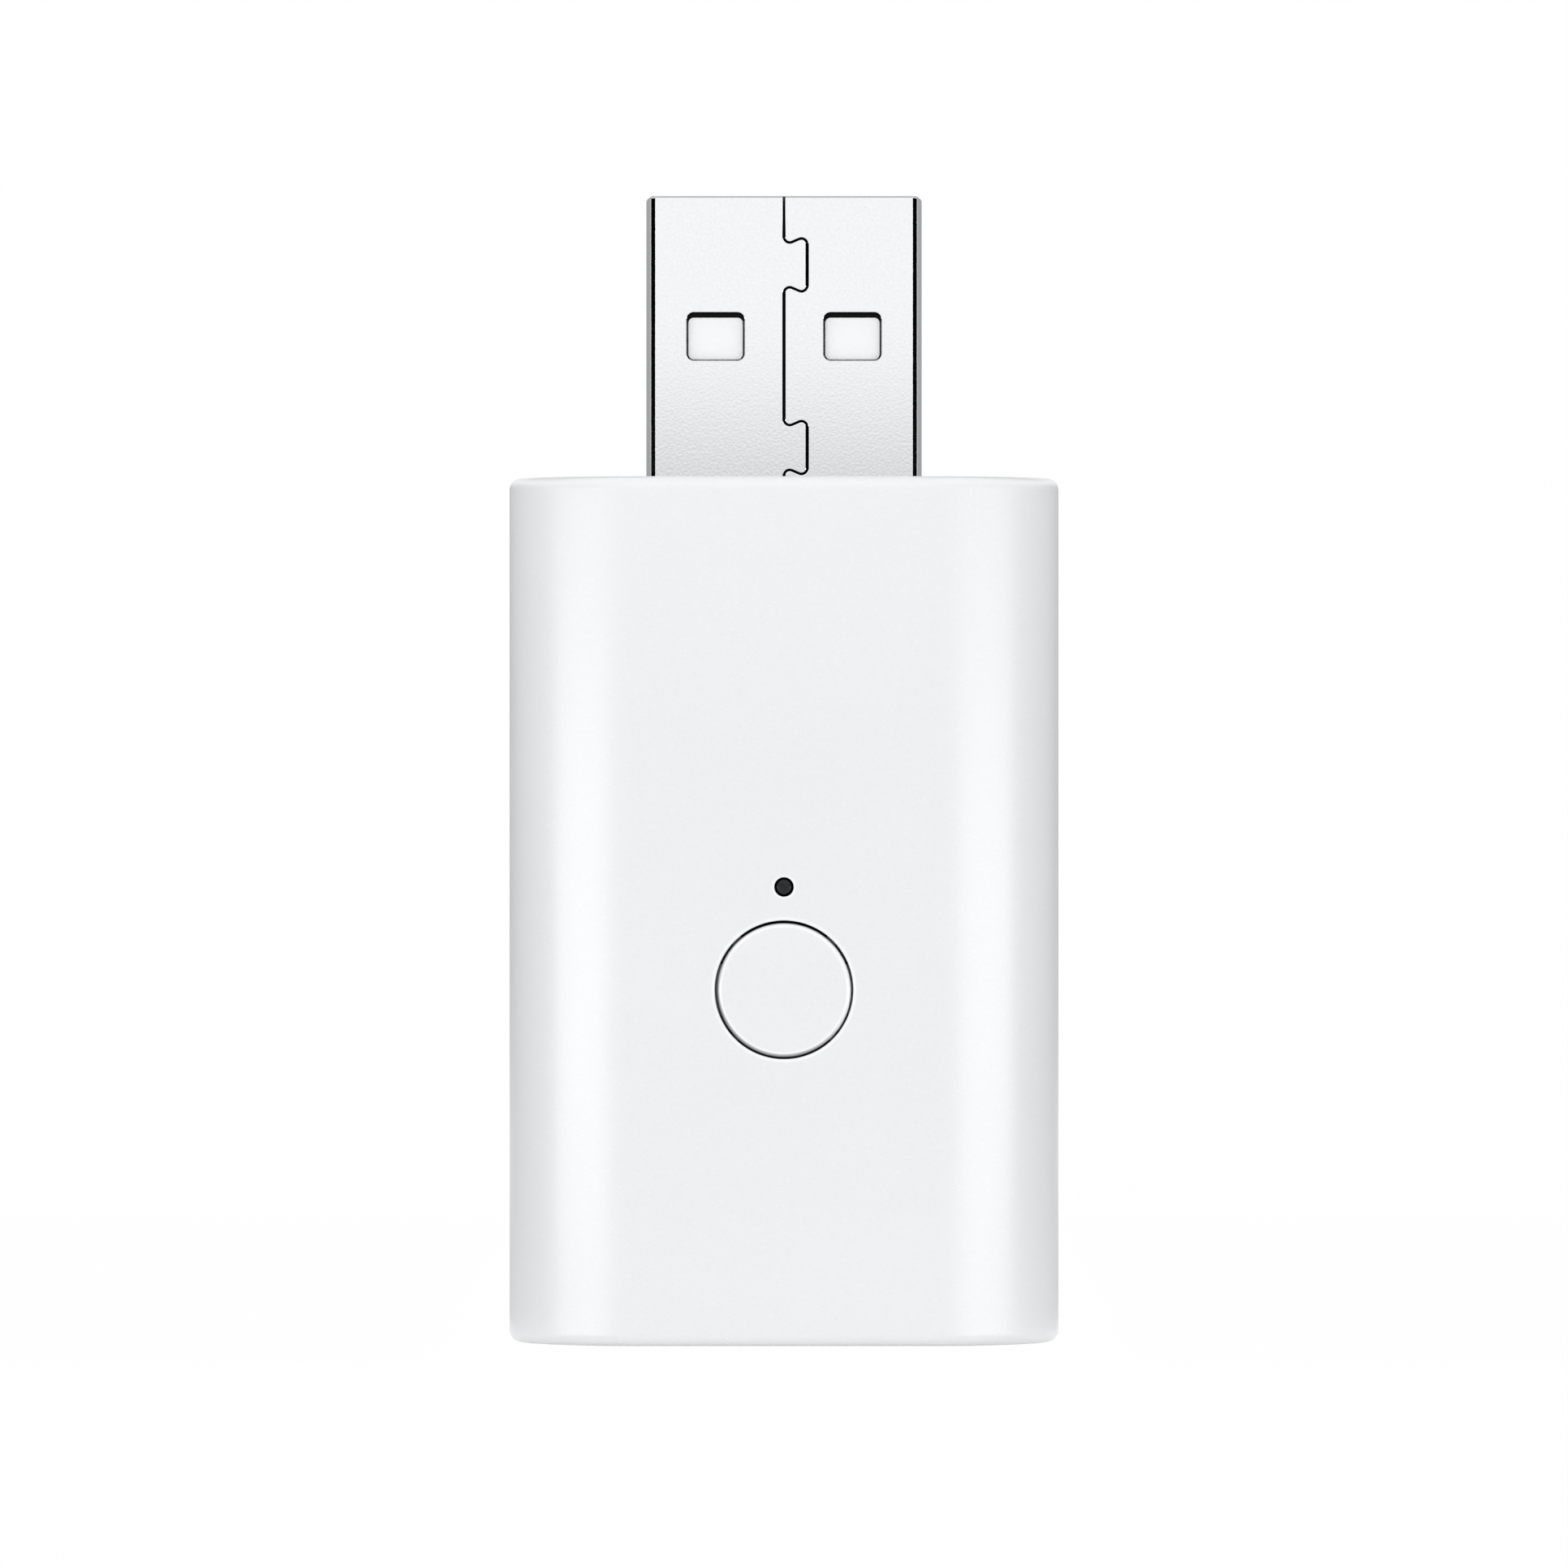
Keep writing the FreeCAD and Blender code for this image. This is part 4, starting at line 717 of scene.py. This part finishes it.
# Painted shade: the guide's sides sunk in the hole go dark and metallic, giving back no light.
lens_painted_shade = rise(lens_y, LENS_SHADE_DEPTHS)
lens_shade = (0.003 + lens_haze * 0.018) * (1 - lens_painted_shade * 0.9)
lens_relief = lens_nodes.add("ShaderNodeBump", values={"Strength": 0.15, "Distance": 0.002 * MM,
                                                       "Height": lens_haze})
lens_surface = lens_nodes.add("ShaderNodeBsdfPrincipled", values={
    "Base Color": tinted(lens_nodes, lens_shade, LENS_TINT), "Metallic": lens_painted_shade,
    "Roughness": 0.12 + lens_haze * 0.2, "Normal": lens_relief, "IOR": 1.38})
lens_nodes.add("ShaderNodeOutputMaterial", values={"Surface": lens_surface})

guide_profile = [*LENS_DOME, (LENS_RADIUS, STEM_FRONT), (STEM_RADIUS, STEM_FRONT),
                 (STEM_RADIUS, COLLAR_FRONT), (COLLAR_RADIUS, COLLAR_FRONT),
                 (COLLAR_RADIUS, COLLAR_BACK), (FOOT_RADIUS, COLLAR_BACK),
                 (FOOT_RADIUS, FOOT_BACK), (0, FOOT_BACK)]
guide_body = turned(guide_profile, LIGHT_HEIGHT, LIGHT_POINTS)
guide_piece = finished("light_guide", to_mesh(guide_body), smoked_lens, "housing", "light_pipe")


# Plug shell
# Nickel plated steel sheet of 0.3 mm, punched and folded round into a rectangular tube. Its two ends
# meet on the front in a dovetail seam, and each broad wall has two square latch windows.

PLUG_WIDTH = 12.0
PLUG_DEPTH = 4.5
SHEET = 0.3
BEND = 0.5
BEND_STEPS = 12
PLUG_LOW = 31.3
MOUTH = 49.95
WINDOW = (2.51, 2.11, 0.3)
WINDOW_STEPS = 6
WINDOW_SPACING = 5.96
WINDOW_HEIGHT = 43.84
SEAM_GAP = 0.09
SEAM_TOUCH = 0.002
SEAM_DEPTH = 0.2
SEAM_STEP = 0.01
TAB_REACH = 1.01
TAB_TIP = 2.30
TAB_NECK = 1.95
TAB_CURL = 0.25
TAB_STEPS = 10
TAB_HEIGHTS = (46.96, 39.01)
EDGE_ROUND = 0.05
EDGE_TURNS = (0.0, math.pi / 4, math.pi / 2)
MOUTH_STRETCH = 2.2
CORNER_DROP = 0.13

STEEL_TINT = (0.88, 0.888, 0.905)
CUT_SHADE = 0.995
INSIDE_SHADE = 0.75
MOUTH_SHADE = 0.55
CUT_SHADE_DEPTHS = (0.03, 0.08)
CUT_SHADE_END = (-1.9, -1.8)
CUT_SHADE_REACH = 5.4
INSIDE_REACH = (5.75, 1.99)
MOUTH_SHADE_LEVELS = (-0.09, -0.03)


def seam_side(offset):
    """One side of the seam from the mouth down, as (x, z) points; offset moves it to the right."""
    neck = Vector((TAB_CURL, TAB_NECK / 2 + TAB_CURL))
    tip = Vector((TAB_REACH - TAB_CURL, TAB_TIP / 2 - TAB_CURL))
    between = tip - neck
    slope = math.asin(2 * TAB_CURL / between.length) + math.atan2(between.y, between.x)
    arcs = [(neck, TAB_CURL - offset, math.pi, 1.5 * math.pi + slope),
            (tip, TAB_CURL + offset, math.pi / 2 + slope, 0.0)]
    upper = []
    for centre, radius, start, end in arcs:
        turns = [start + (end - start) * step / TAB_STEPS for step in range(TAB_STEPS + 1)]
        upper += [(centre.x + radius * math.cos(turn), centre.y + radius * math.sin(turn))
                  for turn in turns]
    points = [(offset, MOUTH)]
    for height in TAB_HEIGHTS:
        points += [(x, height + z) for x, z in upper] + [(x, height - z) for x, z in reversed(upper)]
    points.append((offset, PLUG_LOW))
    return points


def half_window(across, spread):
    """The right half of a window's outline, widened by spread, from its bottom middle to its top."""
    width, height, corner = WINDOW
    corner += spread
    side = width / 2 + spread - corner
    reach = height / 2 + spread - corner
    points = [(across, WINDOW_HEIGHT - height / 2 - spread)]
    for start, up in ((-math.pi / 2, -reach), (0.0, reach)):
        for step in range(WINDOW_STEPS + 1):
            turn = start + step / WINDOW_STEPS * math.pi / 2
            points.append((across + side + corner * math.cos(turn),
                           WINDOW_HEIGHT + up + corner * math.sin(turn)))
    points.append((across, WINDOW_HEIGHT + height / 2 + spread))
    return points


def plate(bm, across, edge_of, levels, joined=False):
    """A flat half wall of the folded sheet with its window. edge_of(spread, half_gap) gives the inner
    edge from low to high, drawn back by spread; the other edge runs on into the bend. The inner edges
    of two halves are joined, or free at the seam, where they stand apart outside and touch inside."""
    side = math.copysign(PLUG_WIDTH / 2 - BEND, across)
    outward = math.copysign(1, levels[1] - levels[0])
    rounding = [(EDGE_ROUND * (1 - math.sin(turn)), EDGE_ROUND * (1 - math.cos(turn)))
                for turn in EDGE_TURNS]
    rows = [(spread, levels[0] + outward * drop) for spread, drop in rounding]
    rows += [(0.0, levels[0] + outward * depth) for depth in (SEAM_DEPTH, SEAM_DEPTH + SEAM_STEP)]
    rows += [(spread, levels[1] - outward * drop) for spread, drop in reversed(rounding)]
    bends, edges, nears, fars, middles = [], [], [], [], []
    for spread, level in rows:
        low, high = PLUG_LOW + spread, MOUTH - MOUTH_STRETCH * spread
        outer = abs(level - levels[0]) < SEAM_DEPTH + SEAM_STEP / 2
        half_gap = SEAM_GAP / 2 if outer else SEAM_TOUCH / 2 - spread
        edge = [(x, min(max(z, low), high)) for x, z in edge_of(spread, half_gap)]
        near = half_window(across, spread)
        far = [(2 * across - x, z) for x, z in near[1:-1]]
        bends.append([bm.verts.new((side, level, z)) for z in (low, high)])
        edges.append([bm.verts.new((x, level, z)) for x, z in edge])
        nears.append([bm.verts.new((x, level, z)) for x, z in near])
        far_points = [bm.verts.new((x, level, z)) for x, z in far]
        fars.append([nears[-1][0]] + far_points + [nears[-1][-1]])
        middles.append([bm.verts.new((across, level, z)) for z in (low, high)])
    for i in (0, len(rows) - 1):
        low, high = middles[i]
        toward_seam = [low] + edges[i] + [high]
        toward_bend = [low] + bends[i] + [high]
        ways = (nears[i], fars[i]) if across < 0 else (fars[i], nears[i])
        split_fill(bm, toward_seam, toward_bend, ways)
    for chain in (nears, fars) if joined else (edges, nears, fars):
        for first, second in zip(chain, chain[1:]):
            strip(bm, first, second)
    for chain in (edges, bends):
        for first, second, middle, next_middle in zip(chain, chain[1:], middles, middles[1:]):
            bm.faces.new((middle[0], first[0], second[0], next_middle[0]))
            bm.faces.new((middle[1], first[-1], second[-1], next_middle[1]))
    return rows


def seam_edge(away):
    """The edge of a front half at the seam, on the side that away gives."""
    return lambda spread, half_gap: seam_side(away * (half_gap + spread))[::-1]


def plain_edge(spread, half_gap):
    """The straight middle line at which the two back halves are joined."""
    return [(0, PLUG_LOW), (0, MOUTH)]


shell_body = bmesh.new()
front_levels = (-PLUG_DEPTH / 2, SHEET - PLUG_DEPTH / 2)
back_levels = (PLUG_DEPTH / 2, PLUG_DEPTH / 2 - SHEET)
bend_x, bend_y = PLUG_WIDTH / 2 - BEND, PLUG_DEPTH / 2 - BEND
for away in (-1, 1):
    across = away * WINDOW_SPACING / 2
    sheet_rows = plate(shell_body, across, seam_edge(away), front_levels)
    plate(shell_body, across, plain_edge, back_levels, joined=True)
    lows, highs = [], []
    for spread, level in sheet_rows:
        radius = -level - bend_y
        top = MOUTH - MOUTH_STRETCH * spread
        section = []
        for step in range(BEND_STEPS + 1):
            turn = step / BEND_STEPS * math.pi / 2
            section.append((away * (bend_x + radius * math.sin(turn)),
                            -bend_y - radius * math.cos(turn),
                            top - CORNER_DROP * math.sin(turn) ** 4))
        section += [(x, -y, z) for x, y, z in reversed(section)]
        lows.append([shell_body.verts.new((x, y, PLUG_LOW + spread)) for x, y, _ in section])
        highs.append([shell_body.verts.new(point) for point in section])
    for rows_up in (lows, highs):
        for first, second in zip(rows_up, rows_up[1:]):
            strip(shell_body, first, second)
    strip(shell_body, lows[0], highs[0])
    strip(shell_body, lows[-1], highs[-1])
bmesh.ops.remove_doubles(shell_body, verts=shell_body.verts, dist=1e-5)
bmesh.ops.recalc_face_normals(shell_body, faces=shell_body.faces)


def within(coordinate, reach):
    """1 where a coordinate lies within reach of the middle, in millimetres, else 0."""
    return (coordinate > -reach * MM) - (coordinate > reach * MM)


plug_steel = bpy.data.materials.new("plug_steel")
steel = Nodes(plug_steel)
steel_place = steel.add("ShaderNodeTexCoord", output="Object")
steel_grain = steel.add("ShaderNodeTexNoise", values={"Vector": steel_place, "Scale": 8500.0,
                                                      "Detail": 1.5, "Roughness": 0.5})
rolled_place = steel.add("ShaderNodeMapping", values={"Vector": steel_place, "Scale": (1.0, 1.0, 0.06)})
steel_roll = steel.add("ShaderNodeTexNoise", values={"Vector": rolled_place, "Scale": 7000.0,
                                                     "Detail": 2.0})
steel_x, steel_y, steel_z = split(steel, steel_place)
# Painted shade darkens the window and seam walls, the inside of the tube and a band at the mouth.
in_cut = rise(steel_y, CUT_SHADE_DEPTHS, -PLUG_DEPTH / 2) * (1 - rise(steel_y, CUT_SHADE_END))
cut_shade = in_cut * within(steel_x, CUT_SHADE_REACH)
inside = within(steel_x, INSIDE_REACH[0]) * within(steel_y, INSIDE_REACH[1])
at_mouth = rise(steel_z, MOUTH_SHADE_LEVELS, MOUTH)
steel_shade = (0.92 + steel_grain * 0.16) * (1 - cut_shade * CUT_SHADE)
steel_shade = steel_shade * (1 - inside * INSIDE_SHADE) * (1 - at_mouth * MOUTH_SHADE)
steel_relief = steel.add("ShaderNodeBump", values={"Strength": 0.3, "Distance": 0.006 * MM,
                                                   "Height": steel_grain + steel_roll * 0.35})
steel_surface = steel.add("ShaderNodeBsdfPrincipled", values={
    "Base Color": tinted(steel, steel_shade, STEEL_TINT), "Metallic": 1.0,
    "Roughness": 0.05 + (steel_grain - 0.5) * 0.03, "Normal": steel_relief})
steel.add("ShaderNodeOutputMaterial", values={"Surface": steel_surface})
shell_piece = finished("plug_shell", to_mesh(shell_body), plug_steel, "housing", "usb_shell")


# Plug insulator, board and the small parts on it
# White moulded tongue with gilt strips, green board, tactile switch, radio module and power parts. They
# keep the forms of the solid model and get the finishes of their own materials.

TONGUE_SHADE_START = (-2.0, -1.93)
TONGUE_SHADE_END = (-1.85, -1.8)
LATCH_FOOT = (42.84, 42.9)


def metal(name, colour, rough, fineness):
    """A plated or bare metal finish with a grain, which is finer the larger the fineness."""
    finish = bpy.data.materials.new(name)
    nodes = Nodes(finish)
    place = nodes.add("ShaderNodeTexCoord", output="Object")
    fine = nodes.add("ShaderNodeTexNoise", values={"Vector": place, "Scale": fineness, "Detail": 3.0})
    relief = nodes.add("ShaderNodeBump", values={"Strength": 0.25, "Distance": 0.003 * MM,
                                                 "Height": fine})
    surface = nodes.add("ShaderNodeBsdfPrincipled", values={
        "Base Color": tinted(nodes, 0.94 + fine * 0.12, colour), "Metallic": 1.0,
        "Roughness": rough + (fine - 0.5) * 0.1, "Normal": relief})
    nodes.add("ShaderNodeOutputMaterial", values={"Surface": surface})
    return finish


def tongue_painted_shade(nodes, place):
    """Painted shade on the tongue's front face round the latch bumps and above them, close behind
    the sheet.
    """
    _, y, z = split(nodes, place)
    return (rise(y, TONGUE_SHADE_START) - rise(y, TONGUE_SHADE_END)) * rise(z, LATCH_FOOT), 0.0


insulator_white = plastic("insulator_white", (0.985, 0.99, 0.995), rough=0.4, grain=0.2, bump=0.15,
                          edges=tongue_painted_shade)
black_plastic = plastic("black_plastic", (0.03, 0.03, 0.033), rough=0.5, grain=0.06, bump=0.4)
ceramic_white = plastic("ceramic_white", (0.8, 0.81, 0.82), rough=0.6, grain=0.04, bump=0.5)
ceramic_tan = plastic("ceramic_tan", (0.5, 0.37, 0.25), rough=0.55, grain=0.05, bump=0.4)
board_green = plastic("board_green", (0.03, 0.2, 0.09), rough=0.3, grain=0.15, bump=0.2)
clear_lens = plastic("clear_lens", (0.85, 0.86, 0.82), rough=0.15, grain=0.2, bump=0.1)
contact_gilt = metal("contact_gilt", (0.95, 0.74, 0.34), rough=0.22, fineness=9000.0)
spring_steel = metal("spring_steel", (0.72, 0.72, 0.72), rough=0.32, fineness=7000.0)
tinned_metal = metal("tinned_metal", (0.78, 0.78, 0.77), rough=0.38, fineness=5000.0)
finishes = {
    "usb_insulator": insulator_white,
    "usb_contact_power": contact_gilt, "usb_contact_data_minus": contact_gilt,
    "usb_contact_data_plus": contact_gilt, "usb_contact_ground": contact_gilt,
    "main_board": board_green, "radio_board": board_green, "power_fuse": board_green,
    "status_led": clear_lens,
    "switch_stem": black_plastic, "switch_base": black_plastic,
    "switch_cover": spring_steel, "switch_terminals": tinned_metal,
    "radio_shield": tinned_metal, "radio_chip": black_plastic, "radio_crystal": tinned_metal,
    "radio_antenna": ceramic_white, "voltage_regulator": black_plastic, "surge_diode": black_plastic,
    "board_capacitors": ceramic_tan, "board_resistors": black_plastic,
}
for node, finish in finishes.items():
    for material_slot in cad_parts[node].material_slots:
        material_slot.material = finish


# Snap dome
# A pressed disc of spring steel that rests on the floor of the switch's well under the stem's nose. The
# stem flattens it by a quarter of a millimetre when the button is pressed.

DOME_FLOOR = -0.45
DOME_TOP = -0.8
DOME_SHEET = 0.08
DOME_RADIUS = 1.5
DOME_FOOT_INSIDE = 1.27
DOME_CROWN = 0.5
DOME_POINTS = 64

dome_inside = DOME_TOP + DOME_SHEET
dome_profile = [(0, DOME_TOP), (DOME_CROWN, DOME_TOP),
                ((DOME_CROWN + DOME_RADIUS) / 2, (DOME_TOP + DOME_FLOOR) / 2),
                (DOME_RADIUS, DOME_FLOOR), (DOME_FOOT_INSIDE, DOME_FLOOR), (DOME_CROWN, dome_inside),
                (0, dome_inside)]
dome_body = turned(dome_profile, BUTTON_HEIGHT, DOME_POINTS)
dome_piece = finished("snap_dome", to_mesh(dome_body), spring_steel, "housing", "switch_dome")
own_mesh(dome_piece)
